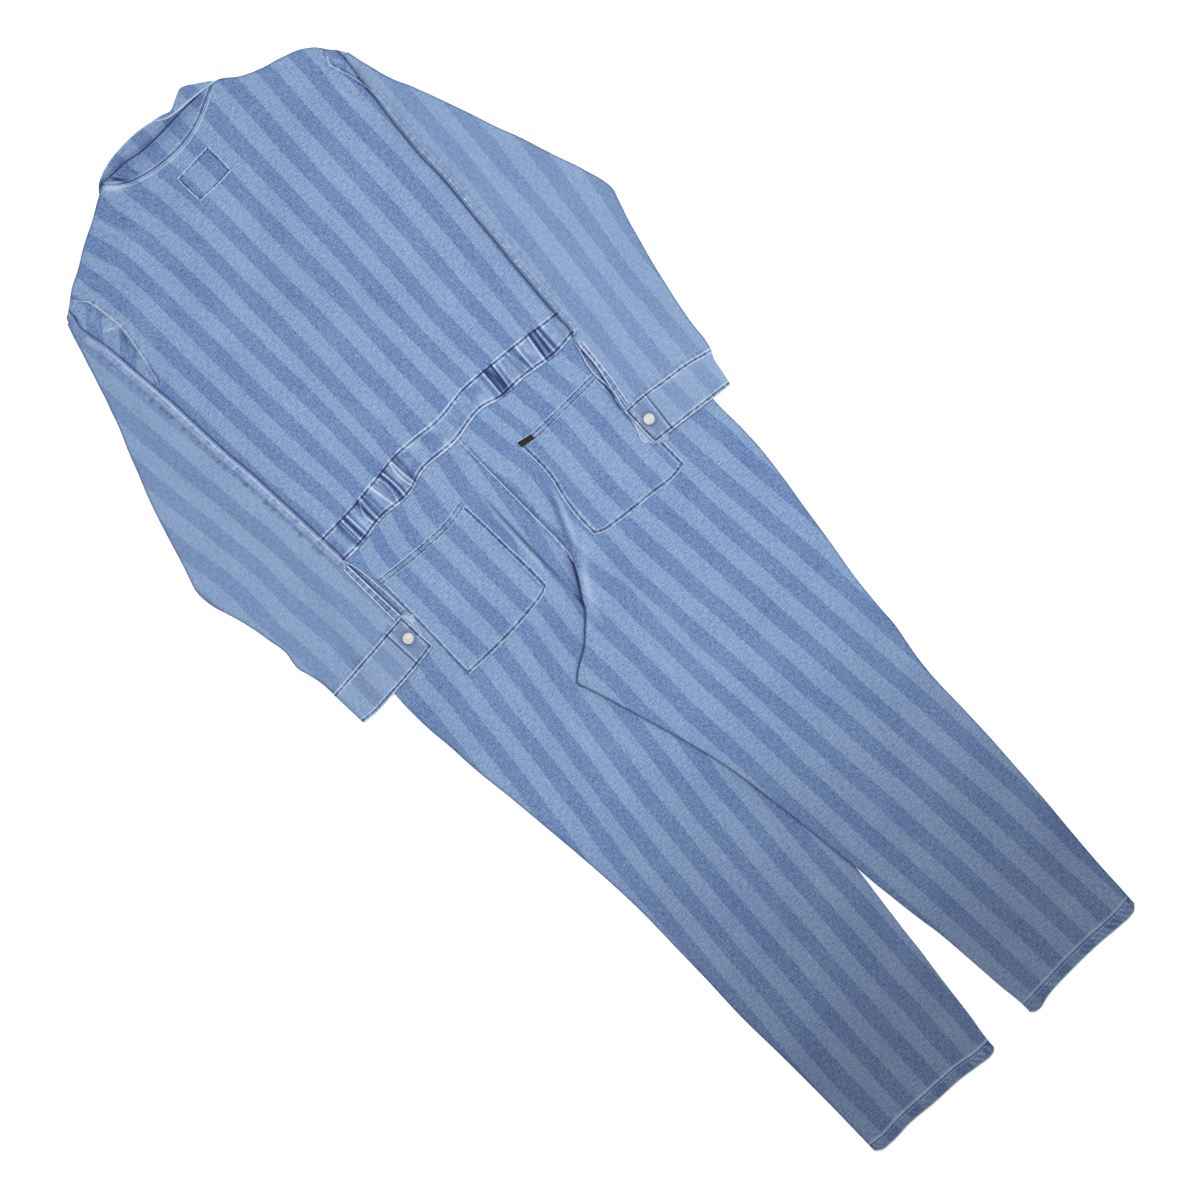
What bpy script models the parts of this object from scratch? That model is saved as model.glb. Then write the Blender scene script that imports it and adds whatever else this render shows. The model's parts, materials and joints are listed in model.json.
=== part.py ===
"""Long-sleeved striped denim jumpsuit, laid flat on its front with its back up.

Every piece that a maker would cut is a thin wall of cloth of its own, lying on the pieces below it.
Frame: +Y runs from the hems to the neck, +X to the wearer's right, +Z up from the surface. The origin
is on the surface, under the middle of the outline. Sizes and tables here are in millimetres, and the
meshes are made in metres.
"""
import math
from collections import namedtuple

import bpy
import numpy as np
from mathutils import Vector
from mathutils.bvhtree import BVHTree

MM = 0.001
SETTLE_STEPS = 24       # rounds that bring a grid's corners onto both of their edges

# Cloth and the way its layers lie on each other.
CLOTH = 1.0             # wall of the denim
DOUBLE_CLOTH = 1.4      # cuffs and hems, which are folded double
SEAM_GAP = 0.3          # between pieces that are sewn together
AIR = 0.6               # between layers that lie loose on each other
EDGE_GAP = 0.5          # between the two layers of a tube at its side folds
PUFF = 1.0              # how much wider the body and legs stand open in their middle
SLEEVE_PUFF = 1.0
ROLL = 12.0             # width over which a layer bends down to a side fold
ROLL_SHARE = 0.055      # share of a panel's width that the narrow strip at each side takes
LAID_GAP = 0.4          # below a piece that is sewn flat onto a panel
FRONT_GAP = 0.7         # between the hidden fronts
FRONT_WAIST = (246, 209)    # straight edges of the hidden front waistband
FRONT_HEM = -734            # straight edge of the hidden front hems

# Heights of the layers that lie on others.
BODY_TOP = CLOTH + EDGE_GAP + PUFF + CLOTH
LEG_LIFT = BODY_TOP + AIR           # the right leg, where it lies over the left one
SLEEVE_BED = BODY_TOP + AIR         # a sleeve on the bodice
POCKET_BED = SLEEVE_BED + 1.3       # a sleeve on the waistband and the pockets
BED_MARGIN = 4.0                    # a sleeve stays up this far past the body's side
BED_FALL = 30.0                     # and comes down to the surface over this width
POCKET_RAMP = (330, 270)            # the sleeve's bed rises between these places toward the waistband
UNDER_RAMP = (600, 550)             # the sleeve's hidden layer begins between these

# How the right leg climbs onto the left one and comes off it.
CLIMB = (45, -5)        # down the seat seam
CLIMB_SIDE = (8, 42)    # beside the left leg's hidden inner edge
LEAVE = (-500, -575)    # past the place where the legs part
SEAT_BLEND = 60.0       # length over which the seat becomes two legs
FAR_SIDE = 400.0        # a side too far away to bend the cloth

# Waistband.
GATHER_RISE = 0.9       # height of a gathered fold over the plain band
PLAIN_RISE = 0.35       # the plain stretches stand this share of it
STITCHED_RISE = 0.45    # and the stitched edges this share of what is between them
STITCHED_SHARE = 0.16   # of the band's height, at each edge
GATHER_MARGIN = 8.0     # from the last groove to the plain cloth
HEM_RISE = 0.7          # the folded hem stands this much over the panel it ends

CUFF_PUFF = 0.6         # how much wider a cuff stands open in its middle
SHEET_INSET = 1.0       # hidden fronts lie this far inside the backs' edges

Side = namedtuple("Side", "y left right")
Cross = namedtuple("Cross", "x y")
Fold = namedtuple("Fold", "x0 y0 x1 y1 width rise")
Button = namedtuple("Button", "x y")
Ring = namedtuple("Ring", "radius z")
Piece = namedtuple("Piece", "obj x y")

# Sides of the body's tube, down to the crotch. Above 470 they are the hidden edges of the sleeve heads.
BODY_SIDES = [
    Side(664, -216, 222), Side(656, -227, 227), Side(648, -231, 232), Side(620, -230, 231),
    Side(560, -229, 231), Side(500, -233, 237), Side(440, -236, 240), Side(350, -232, 236),
    Side(253, -220, 222), Side(214, -223, 224), Side(150, -240, 238), Side(100, -254, 249),
    Side(55, -263, 256), Side(20, -264, 256), Side(0, -263, 257), Side(-60, -258, 254),
]

# The armhole seams, which run into the side seams under the sleeves.
ARMHOLES = [
    Side(664, -211, 219), Side(656, -205, 213), Side(650, -199, 210), Side(640, -196, 213),
    Side(620, -193, 219), Side(600, -191.5, 223), Side(583, -193, 224), Side(567, -196, 225),
    Side(540, -202, 227), Side(515, -209, 231), Side(490, -222, 236), Side(470, -236, 240),
    Side(440, -236, 240), Side(350, -232, 236), Side(253, -220, 222),
]

# Each leg with its outer seam and its inner edge. The left one's inner edge is hidden to y -487.
LEFT_LEG = [
    Side(222, -222, 5.7), Side(150, -240, 5.7), Side(100, -254, 5.7), Side(55, -263, 5.7),
    Side(35, -263.5, 4), Side(20, -264, 0.5), Side(8, -263.5, 0), Side(-8, -262, 6),
    Side(-20, -261, 12), Side(-60, -258, 22),
    Side(-105, -254, 26), Side(-200, -244, 15), Side(-300, -236, 5), Side(-400, -235, -5),
    Side(-487, -237, -15), Side(-540, -236, -20), Side(-600, -235, -28), Side(-660, -234, -35),
    Side(-700, -234, -41), Side(-753, -235, -47),
]
RIGHT_LEG = [
    Side(222, 6, 223), Side(150, 6, 238), Side(100, 6, 249), Side(55, 6, 256),
    Side(35, 4.5, 256.5), Side(20, 1, 256), Side(0, -9, 257), Side(-20, -22, 257),
    Side(-35, -31, 256), Side(-50, -46, 255), Side(-65, -63, 254), Side(-80, -88, 251),
    Side(-88, -96.5, 250), Side(-100, -93, 249), Side(-130, -83, 244), Side(-190, -65, 235),
    Side(-240, -50, 228), Side(-290, -38, 223), Side(-340, -30, 217), Side(-380, -25, 212),
    Side(-440, -18, 211), Side(-487, -12, 210), Side(-540, -7, 207), Side(-600, 1, 203),
    Side(-660, 7, 198), Side(-700, 11, 196), Side(-753, 15, 193.5),
]

# Inner edges of the hidden trouser fronts, which run a little inside the backs.
LEFT_FRONT_INNER = [
    Cross(-15.3, 222), Cross(-15.3, 45), Cross(-9, 20), Cross(-3, 0), Cross(8, -20), Cross(18, -60),
    Cross(22, -105), Cross(11, -200), Cross(1, -300), Cross(-9, -400), Cross(-18, -487),
    Cross(-24, -540), Cross(-32, -600), Cross(-45, -700), Cross(-51, -753),
]
RIGHT_FRONT_INNER = [
    Cross(15, 222), Cross(15, 45), Cross(13, 25), Cross(9, 5), Cross(-4, -10), Cross(-20, -27),
    Cross(-42, -50), Cross(-74, -78), Cross(-90, -89), Cross(-87, -105), Cross(-79, -130),
    Cross(-61, -190), Cross(-34, -290), Cross(-21, -380), Cross(-9, -487), Cross(-4, -540),
    Cross(4, -600), Cross(14, -700), Cross(18, -753),
]

# Cross edges of the bodice: shoulders with the neckline between them, and the waist.
SHOULDER_LINE = [
    Cross(-216, 662), Cross(-211, 666), Cross(-197, 676),
    Cross(-181, 684), Cross(-155, 700), Cross(-124, 716),
    Cross(-98, 731), Cross(-85, 736.5), Cross(-76, 728), Cross(-67, 720), Cross(-45, 711),
    Cross(-20, 706), Cross(0, 704.7), Cross(20, 705.5), Cross(45, 711), Cross(70, 721.5),
    Cross(90, 731), Cross(100, 731), Cross(121, 716), Cross(147, 704), Cross(175, 696),
    Cross(202, 684), Cross(213, 674.5), Cross(219, 666), Cross(222, 662),
]
BODICE_COLUMNS = [
    -211, -190, -165, -140, -116, -98, -86, -76, -67, -45, -22, 0, 22, 45, 70, 90, 100, 121, 147,
    170, 195, 219,
]
ARMHOLE_ROWS = [666, 655, 647, 638, 620, 600, 583, 560, 535, 510, 482]
BODICE_ROWS = ARMHOLE_ROWS + [450, 410, 370, 330, 290, 251]
BAND_TOP = [
    Cross(-222, 251), Cross(-193, 252), Cross(-150, 253), Cross(-100, 258), Cross(-65, 262),
    Cross(-30, 260), Cross(0, 257), Cross(55, 262), Cross(80, 260.5), Cross(110, 258),
    Cross(150, 254), Cross(190, 249), Cross(224, 247),
]
BAND_BOTTOM = [
    Cross(-224, 211), Cross(-160, 212), Cross(-130, 216.5), Cross(-75, 215.5), Cross(-60, 221),
    Cross(0, 220), Cross(55, 225.5), Cross(75, 219.5), Cross(110, 218), Cross(165, 211),
    Cross(190, 213), Cross(226, 212),
]

# Gathered folds of the waistband, by the place of each groove.
LEFT_GATHERS = [
    -168, -164, -160, -155, -150, -144, -139, -135, -130, -125, -120, -112, -106, -99, -95, -91,
    -87, -80, -76, -72, -68,
]
RIGHT_GATHERS = [
    76, 80, 84, 88, 92, 96, 101, 107, 113, 119, 124, 130, 138, 146, 150, 154, 158, 162, 166,
]

# Rows of points down the trousers, closest where the seat seam bends.
SEAT_ROWS = [220, 190, 160, 130, 100, 75, 50, 35, 20, 0, -20, -35, -50, -65, -80, -88, -100, -130]
LEG_ROWS = [
    -160, -190, -240, -290, -340, -380, -410, -440, -465, -487, -510, -540, -570, -600, -640, -680,
    -710, -735,
]
FRONT_SEAT_ROWS = [220, 130, 60, 45, 25, 5, -10, -27, -50, -78, -89, -105, -130]
FRONT_LEG_ROWS = [-190, -290, -380, -440, -487, -540, -600, -700, -735]

# Hems: where the folded hem is sewn, and where the leg ends.
LEFT_HEM_SEAM = [
    Cross(-235, -730), Cross(-213, -732.5), Cross(-190, -731), Cross(-140, -732.7),
    Cross(-98, -734.7), Cross(-60, -740), Cross(-46, -740),
]
LEFT_HEM_END = [
    Cross(-235, -737), Cross(-230, -741), Cross(-213, -744), Cross(-180, -743), Cross(-145, -746),
    Cross(-100, -748), Cross(-70, -752), Cross(-57, -753.5), Cross(-50, -752), Cross(-46, -748),
]
RIGHT_HEM_SEAM = [
    Cross(14, -738.5), Cross(40, -737.5), Cross(95, -735), Cross(130, -735.5), Cross(166, -737),
    Cross(194, -735),
]
RIGHT_HEM_END = [
    Cross(14, -748), Cross(18, -752), Cross(24, -754), Cross(41, -750.5), Cross(95, -747.5),
    Cross(130, -748), Cross(166, -750.5), Cross(180, -751), Cross(190, -748), Cross(194, -743),
]

# Pieces that are sewn onto the back.
NECK_PATCH_SIDES = [Side(683, -18, 36), Side(663, -17, 36.5), Side(645, -14, 37), Side(640, -11, 34)]
NECK_PATCH_TOP = [Cross(-18, 680), Cross(36, 683)]
NECK_PATCH_BOTTOM = [Cross(-18, 642), Cross(37, 642.5)]

LEFT_POCKET_SIDES = [
    Side(169, -182.5, -46), Side(145, -182, -44), Side(90, -182, -42), Side(22, -183, -41),
    Side(8, -183, -42),
]
LEFT_POCKET_TOP = [
    Cross(-183, 169), Cross(-150, 165), Cross(-110, 162),
    Cross(-72, 162), Cross(-46, 167),
]
LEFT_POCKET_BOTTOM = [Cross(-183, 10), Cross(-130, 9), Cross(-75, 12.5), Cross(-50, 17), Cross(-40, 22)]
RIGHT_POCKET_SIDES = [
    Side(170, 52, 178), Side(105, 50, 178), Side(85, 45, 178), Side(50, 40.5, 178), Side(6, 41, 179),
]
RIGHT_POCKET_TOP = [Cross(51, 170), Cross(72, 165), Cross(100, 164.5), Cross(178, 165)]
RIGHT_POCKET_BOTTOM = [
    Cross(40, 25), Cross(50, 20), Cross(80, 14.5),
    Cross(125, 10), Cross(158, 6.5), Cross(179, 9.5),
]
POCKET_BAND = 9.0       # height of the turned band at a pocket's top
TAB_SIDES = [Side(168, 53, 71), Side(156, 53, 71)]
TAB_TOP = [Cross(52, 167.5), Cross(72, 164.5)]
TAB_BOTTOM = [Cross(52, 160.5), Cross(72, 157.5)]

# Sleeves: the left one has its outer edge at the left, the right one at the right.
LEFT_SLEEVE = [
    Side(647, -232.5, -224), Side(634, -237, -228), Side(620, -241, -226), Side(600, -248, -222),
    Side(575, -256, -219), Side(550, -264, -217), Side(520, -274, -214), Side(500, -282, -212),
    Side(460, -298, -210), Side(400, -320, -207), Side(360, -333, -203), Side(320, -344.5, -201),
    Side(303, -347.5, -200), Side(285, -346, -199), Side(260, -338, -198), Side(230, -331, -196.5),
    Side(205, -325, -195.7), Side(180, -322, -194.7), Side(160, -324.5, -194), Side(140, -320, -193),
    Side(107, -316, -191.7),
]
RIGHT_SLEEVE = [
    Side(645, 230, 234), Side(620, 227, 240), Side(600, 224, 245), Side(575, 221, 254),
    Side(550, 218, 266), Side(520, 215, 277), Side(500, 213, 284), Side(460, 213, 298),
    Side(400, 208, 319), Side(360, 205, 335), Side(320, 201, 347), Side(303, 200, 347.5),
    Side(280, 198, 339), Side(240, 195.5, 328), Side(215, 193, 321), Side(207, 187.5, 318),
    Side(195, 186, 315), Side(170, 184, 310), Side(150, 180.5, 306.5), Side(120, 174, 302),
    Side(87, 167, 297),
]
LEFT_SLEEVE_END = [Cross(-317, 107.5), Cross(-260, 112), Cross(-191, 118)]
RIGHT_SLEEVE_END = [
    Cross(167, 106.5), Cross(203, 104.5), Cross(230, 100.5),
    Cross(260, 96.5), Cross(298, 87.5),
]
UNDER_INSET = 1.5       # the hidden layer of a sleeve or cuff lies this far inside the upper one
UNDER_START = 548       # where the hidden layer of a sleeve begins

# Cuffs and what shows of their under leaves.
LEFT_CUFF_SIDES = [Side(118, -316.3, -191.7), Side(107, -316, -191.7), Side(57, -314, -190)]
RIGHT_CUFF_SIDES = [
    Side(106, 170.7, 299), Side(87, 170.3, 297), Side(78, 170, 294),
    Side(60, 170, 288), Side(42, 170, 283),
]
LEFT_CUFF_END = [Cross(-316, 60), Cross(-260, 58.5), Cross(-220, 63), Cross(-190, 66)]
RIGHT_CUFF_END = [Cross(170, 53), Cross(200, 50), Cross(260, 44), Cross(298, 41)]
LEFT_CUFF_LEAF = [
    Side(117, -191.4, -190.4), Side(113, -191.3, -185.5), Side(109.5, -191.2, -181.8),
    Side(104, -191, -183), Side(97, -190.8, -186), Side(90, -190.6, -188.6), Side(84, -190.5, -189.7),
]
RIGHT_CUFF_LEAF = [
    Side(92, 169, 170), Side(84, 166.8, 169.9), Side(75, 164, 169.7), Side(66, 160.7, 169.7),
    Side(61.5, 161.7, 169.7), Side(57, 166, 169.7), Side(53.5, 168, 169.7), Side(51.8, 170.3, 173.5),
    Side(50.5, 172, 186.3), Side(47, 177, 187), Side(44, 182, 184.2),
]
LEFT_UNDERLEAF = [
    Side(206, -195.4, -193.4), Side(195, -195, -190), Side(180, -194.3, -187.5),
    Side(165, -193.8, -186.5), Side(150, -193.3, -185.3), Side(119, -191.8, -183.7),
]
RIGHT_UNDERLEAF = [
    Side(204, 184.6, 186.6), Side(190, 181.5, 185.3), Side(180, 178.2, 184.4), Side(165, 175.9, 183.1),
    Side(152, 176, 180.5), Side(142, 177.2, 178.6),
]
LEFT_PLACKET = [Side(205, -203, -196.2), Side(120, -202, -193.2)]
RIGHT_PLACKET = [
    Side(199, 187, 193), Side(170, 184.7, 190.5),
    Side(150, 181.3, 188), Side(109, 172.3, 181),
]
FELLED_SEAM = 9.0       # width of the double-stitched seam along a sleeve's inner edge
FELLED_INSET = 0.6      # and its distance from that edge
FELLED_REACH = (596, 216)
SLEEVE_ROWS = [
    647, 634, 620, 600, 575, 550, 520, 490, 460, 430, 400, 380, 360, 340, 320, 303, 285, 265, 245,
    230, 215, 205, 190, 170, 150, 130, 110,
]

# Cuff buttons: places, and the profile that is turned into one.
LEFT_BUTTON = Button(-205, 92)
RIGHT_BUTTON = Button(185, 78)
BUTTON_RADIUS = 7.0
BUTTON_SIDES = 24
BUTTON_PROFILE = [
    Ring(0, 3.2), Ring(3.15, 2.95), Ring(5.45, 2.35), Ring(6.65, 1.95), Ring(BUTTON_RADIUS, 1.45),
    Ring(6.5, 0.85), Ring(3.5, 0.65), Ring(2.95, 0), Ring(0, 0),
]

# Collar.
COLLAR_BACK_TOP = [
    Cross(-85, 738), Cross(-70, 737), Cross(-45, 736), Cross(-32, 733), Cross(0, 731.5),
    Cross(40, 733), Cross(90, 732.3),
]
COLLAR_BACK_BOTTOM = [
    Cross(-85, 737), Cross(-76, 728.4), Cross(-67, 720.4), Cross(-45, 711.4), Cross(-20, 706.4),
    Cross(0, 705.1), Cross(20, 705.9), Cross(45, 711.4), Cross(70, 721.9), Cross(90, 731.4),
]
COLLAR_FRONT_TOP = [
    Cross(-97, 733.3), Cross(-91, 740), Cross(-85, 744), Cross(-76, 748), Cross(-62, 752),
    Cross(-40, 754.5), Cross(0, 752.5), Cross(14, 749.3), Cross(35, 743.3), Cross(60, 741),
    Cross(97, 732),
]
COLLAR_POINT_TOP = [
    Cross(10, 750.6), Cross(22, 747.5), Cross(35, 744), Cross(42, 747), Cross(50, 751),
    Cross(61, 755), Cross(69, 752), Cross(78, 746), Cross(88, 739.5), Cross(98, 732.3),
]
COLLAR_POINT_BOTTOM = [
    Cross(10, 749.4), Cross(17, 744), Cross(25, 740), Cross(35, 738), Cross(60, 736), Cross(98, 731.3),
]
FRONT_NECK = [Cross(-100, 730), Cross(-60, 702), Cross(0, 690), Cross(60, 702), Cross(100, 730)]
FRONT_BAND_HALF = 15.0  # half of the button band and of the fly strip
FLY_END = 60.0          # the fly strip ends here, above the crotch

# The largest soft folds of the body and the legs, each a long low ridge.
BODY_FOLDS = [
    Fold(-60, 705, -175, 600, 24, 1.6), Fold(-95, 690, -150, 560, 22, 1.1),
    Fold(80, 700, 150, 610, 26, 1.2), Fold(-110, 520, -60, 380, 30, 1.0),
    Fold(90, 480, 40, 330, 30, 0.9),
]
LEFT_LEG_FOLDS = [
    Fold(-150, -120, -170, -420, 30, 1.4), Fold(-95, -260, -80, -560, 24, 1.2),
    Fold(-190, -430, -180, -700, 26, 1.2),
]
RIGHT_LEG_FOLDS = [
    Fold(60, 90, -50, -70, 26, 1.2), Fold(60, -110, 90, -390, 30, 1.4),
    Fold(150, -200, 140, -520, 28, 1.3), Fold(70, -470, 90, -700, 26, 1.2),
]
SLEEVE_FOLDS = [
    Fold(-335, 285, -255, 330, 16, 1.6), Fold(-325, 235, -250, 262, 14, 1.2),
    Fold(-300, 420, -240, 380, 20, 1.2), Fold(-262, 520, -236, 400, 18, 1.0),
    Fold(335, 292, 262, 335, 16, 1.6), Fold(322, 240, 248, 268, 14, 1.1),
    Fold(300, 430, 240, 372, 20, 1.1), Fold(268, 520, 238, 410, 18, 1.0),
]


# ---------------------------------------------------------------------------------------------
# Scene, materials and grids of points
# ---------------------------------------------------------------------------------------------

def clear_scene():
    for obj in list(bpy.data.objects):
        bpy.data.objects.remove(obj, do_unlink=True)


def new_material(name, colour, roughness, metallic=0.0):
    material = bpy.data.materials.new(name)
    material.use_nodes = True
    shader = material.node_tree.nodes["Principled BSDF"]
    shader.inputs["Base Color"].default_value = (*colour, 1.0)
    shader.inputs["Roughness"].default_value = roughness
    shader.inputs["Metallic"].default_value = metallic
    return material


def smooth_curve(keys, values):
    """A curve through the rows of a table, as a function of the key."""
    order = np.argsort(keys)
    keys = np.asarray(keys, float)[order]
    values = np.asarray(values, float)[order]
    slopes = np.gradient(values, keys)

    def at(key):
        key = np.clip(key, keys[0], keys[-1])
        row = np.clip(np.searchsorted(keys, key) - 1, 0, len(keys) - 2)
        span = keys[row + 1] - keys[row]
        t = (key - keys[row]) / span
        start = values[row] * (1 + 2 * t) + slopes[row] * span * t
        end = values[row + 1] * (3 - 2 * t) - slopes[row + 1] * span * (1 - t)
        return start * (1 - t) ** 2 + end * t ** 2

    return at


def side_curves(table):
    keys = [row.y for row in table]
    left = smooth_curve(keys, [row.left for row in table])
    right = smooth_curve(keys, [row.right for row in table])
    return left, right


def cross_curve(table):
    return smooth_curve([row.x for row in table], [row.y for row in table])


def inner_curve(table):
    """An edge that runs along the garment, from rows of x and y."""
    return smooth_curve([row.y for row in table], [row.x for row in table])


def level(place):
    """A straight edge: the same place for every key."""
    return lambda key: place + 0 * key


def moved(curve, distance):
    return lambda key: curve(key) + distance


def even(count):
    return np.linspace(0, 1, count + 1)


def with_rolls(count):
    """Fractions across a panel, with one narrow strip at each side that rolls down."""
    return np.concatenate([[0], np.linspace(ROLL_SHARE, 1 - ROLL_SHARE, count - 1), [1]])


def fractions(stations):
    """Fractions along a panel from the places of its rows."""
    stations = np.asarray(stations, float)
    return (stations - stations[0]) / (stations[-1] - stations[0])


def panel_points(sides, top, bottom, columns, rows):
    """Grid of x and y between two side edges x(y) and two cross edges y(x)."""
    left, right = sides
    across = np.asarray(columns)[None, :]
    along = np.asarray(rows)[:, None]
    middle = 0.0 * across
    y = top(middle) + (bottom(middle) - top(middle)) * along
    for _ in range(SETTLE_STEPS):
        x = left(y) + (right(y) - left(y)) * across
        y = top(x) + (bottom(x) - top(x)) * along
    return x, y


def smooth_step(value):
    value = np.clip(value, 0, 1)
    return value * value * (3 - 2 * value)


def ramp(value, start, end):
    """0 before start, 1 past end, with a soft rise between them."""
    return smooth_step((value - start) / (end - start))


def rolled(x, y, sides):
    """0 at a tube's side folds, 1 well inside it."""
    left, right = sides
    inside = np.minimum(x - left(y), right(y) - x)
    return 1 - np.exp(-np.maximum(inside, 0) / ROLL)


def folds_height(x, y, folds):
    total = 0 * x
    for fold in folds:
        dx = fold.x1 - fold.x0
        dy = fold.y1 - fold.y0
        length = math.hypot(dx, dy)
        along = np.clip(((x - fold.x0) * dx + (y - fold.y0) * dy) / length ** 2, 0, 1)
        off = ((x - fold.x0) * dy - (y - fold.y0) * dx) / length
        total = total + fold.rise * np.exp(-(off / fold.width) ** 2) * np.sin(math.pi * along) ** 2
    return total


# ---------------------------------------------------------------------------------------------
# Walls of cloth
# ---------------------------------------------------------------------------------------------

def grid_faces(rows, columns):
    return [
        (row * columns + column, (row + 1) * columns + column,
         (row + 1) * columns + column + 1, row * columns + column + 1)
        for row in range(rows - 1) for column in range(columns - 1)
    ]


def add_object(name, mesh, material):
    mesh.materials.append(material)
    obj = bpy.data.objects.new(name, mesh)
    garment.objects.link(obj)
    return obj


def cloth_wall(name, x, y, z, material, thickness=CLOTH):
    """A wall whose underside is the given grid, thickened upward."""
    rows, columns = x.shape
    points = np.stack([x, y, z + 0 * x], axis=-1).reshape(-1, 3) * MM
    mesh = bpy.data.meshes.new(name)
    mesh.from_pydata(points.tolist(), [], grid_faces(rows, columns))
    mesh.shade_smooth()
    obj = add_object(name, mesh, material)
    solidify = obj.modifiers.new("cloth", "SOLIDIFY")
    solidify.thickness = thickness * MM
    solidify.offset = 1
    return Piece(obj, x, y)


def end_edge(row, *pieces):
    """Cross edge of pieces that lie side by side, as a function of x: row 0 is their top, -1 their end."""
    places = np.concatenate([piece.x[row] for piece in pieces])
    heights = np.concatenate([piece.y[row] for piece in pieces])
    return lambda x: np.interp(x, places, heights)


def raised_wall(name, x, y, z_under, z_upper, material):
    """A wall with a plain underside and a worked upper side, lofted between the two."""
    rows, columns = x.shape
    count = rows * columns
    under = np.stack([x, y, z_under], axis=-1).reshape(-1, 3)
    upper = np.stack([x, y, z_upper], axis=-1).reshape(-1, 3)
    top_faces = [tuple(count + index for index in face) for face in grid_faces(rows, columns)]
    bottom_faces = [tuple(reversed(face)) for face in grid_faces(rows, columns)]
    down_left = [row * columns for row in range(rows)]
    along_bottom = [(rows - 1) * columns + column for column in range(1, columns)]
    up_right = [row * columns + columns - 1 for row in range(rows - 2, -1, -1)]
    back_along_top = list(range(columns - 2, 0, -1))
    loop = down_left + along_bottom + up_right + back_along_top
    rim_faces = [
        (a, b, count + b, count + a) for a, b in zip(loop, loop[1:] + loop[:1])
    ]
    mesh = bpy.data.meshes.new(name)
    points = np.concatenate([under, upper]) * MM
    mesh.from_pydata(points.tolist(), [], bottom_faces + top_faces + rim_faces)
    return Piece(add_object(name, mesh, material), x, y)


def top_height(x, y, carriers):
    """Height of the upper side of the pieces that carry another, at each grid point."""
    bpy.context.view_layer.update()
    graph = bpy.context.evaluated_depsgraph_get()
    trees = [BVHTree.FromObject(carrier.obj, graph) for carrier in carriers]
    down = Vector((0, 0, -1))
    height = np.zeros_like(x)
    for index in np.ndindex(x.shape):
        start = Vector((x[index] * MM, y[index] * MM, 1.0))
        hits = [tree.ray_cast(start, down)[0] for tree in trees]
        found = [hit.z / MM for hit in hits if hit is not None]
        height[index] = max(found) if found else np.nan
    return np.where(np.isnan(height), np.nanmax(height), height)


def sewn_on(name, carriers, sides, top, bottom, columns, rows, material, thickness=CLOTH):
    """A piece sewn flat onto others: made from their points, moved out."""
    x, y = panel_points(sides, top, bottom, even(columns), even(rows))
    z = top_height(x, y, carriers) + LAID_GAP
    return cloth_wall(name, x, y, z, material, thickness)


# ---------------------------------------------------------------------------------------------
# Heights of the layers
# ---------------------------------------------------------------------------------------------

def body_back_height(x, y):
    """Underside of the back of the body's tube."""
    body = side_curves(BODY_SIDES)
    return CLOTH + EDGE_GAP + PUFF * rolled(x, y, body) + folds_height(x, y, BODY_FOLDS)


def left_leg_height(x, y):
    """Underside of the left trouser back: its inner edge rolls down below the seat."""
    outer, inner = side_curves(LEFT_LEG)
    whole = PUFF * rolled(x, y, (outer, level(FAR_SIDE)))
    leg = PUFF * rolled(x, y, (outer, inner))
    below_seat = smooth_step(-y / SEAT_BLEND)
    folds = folds_height(x, y, LEFT_LEG_FOLDS)
    return CLOTH + EDGE_GAP + whole + (leg - whole) * below_seat + folds


def right_leg_bed(x, y):
    """What lifts the right leg: the left one, from the seat down to where the legs part."""
    hidden_edge = side_curves(LEFT_LEG)[1]
    beside = 1 - ramp(x - hidden_edge(y), *CLIMB_SIDE)
    below_seat = ramp(y, *CLIMB)
    above_gap = 1 - ramp(y, *LEAVE)
    return LEG_LIFT * beside * below_seat * above_gap


def right_leg_height(x, y):
    """Underside of the right trouser back."""
    inner, outer = side_curves(RIGHT_LEG)
    whole = PUFF * rolled(x, y, (level(-FAR_SIDE), outer))
    leg = PUFF * rolled(x, y, (inner, outer))
    below_seat = smooth_step((CLIMB[1] - y) / SEAT_BLEND)
    folds = folds_height(x, y, RIGHT_LEG_FOLDS)
    return CLOTH + EDGE_GAP + right_leg_bed(x, y) + whole + (leg - whole) * below_seat + folds


def sleeve_bed(x, y):
    """What a sleeve's hidden layer lies on: the body, and beside it the surface."""
    left, right = side_curves(BODY_SIDES)
    inside = np.minimum(x - left(y), right(y) - x)
    on_pockets = ramp(y, *POCKET_RAMP)
    height = SLEEVE_BED + (POCKET_BED - SLEEVE_BED) * on_pockets
    return height * smooth_step((inside + BED_MARGIN + BED_FALL) / BED_FALL)


def sleeve_height(x, y, sides):
    """Underside of a sleeve's upper layer."""
    under_layer = CLOTH * ramp(y, *UNDER_RAMP)
    puff = SLEEVE_PUFF * rolled(x, y, sides)
    return sleeve_bed(x, y) + under_layer + EDGE_GAP + puff + folds_height(x, y, SLEEVE_FOLDS)


def cuff_height(x, y, sides):
    puff = CUFF_PUFF * rolled(x, y, sides)
    return sleeve_bed(x, y) + DOUBLE_CLOTH + EDGE_GAP + puff


# ---------------------------------------------------------------------------------------------
# Pieces
# ---------------------------------------------------------------------------------------------

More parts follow.
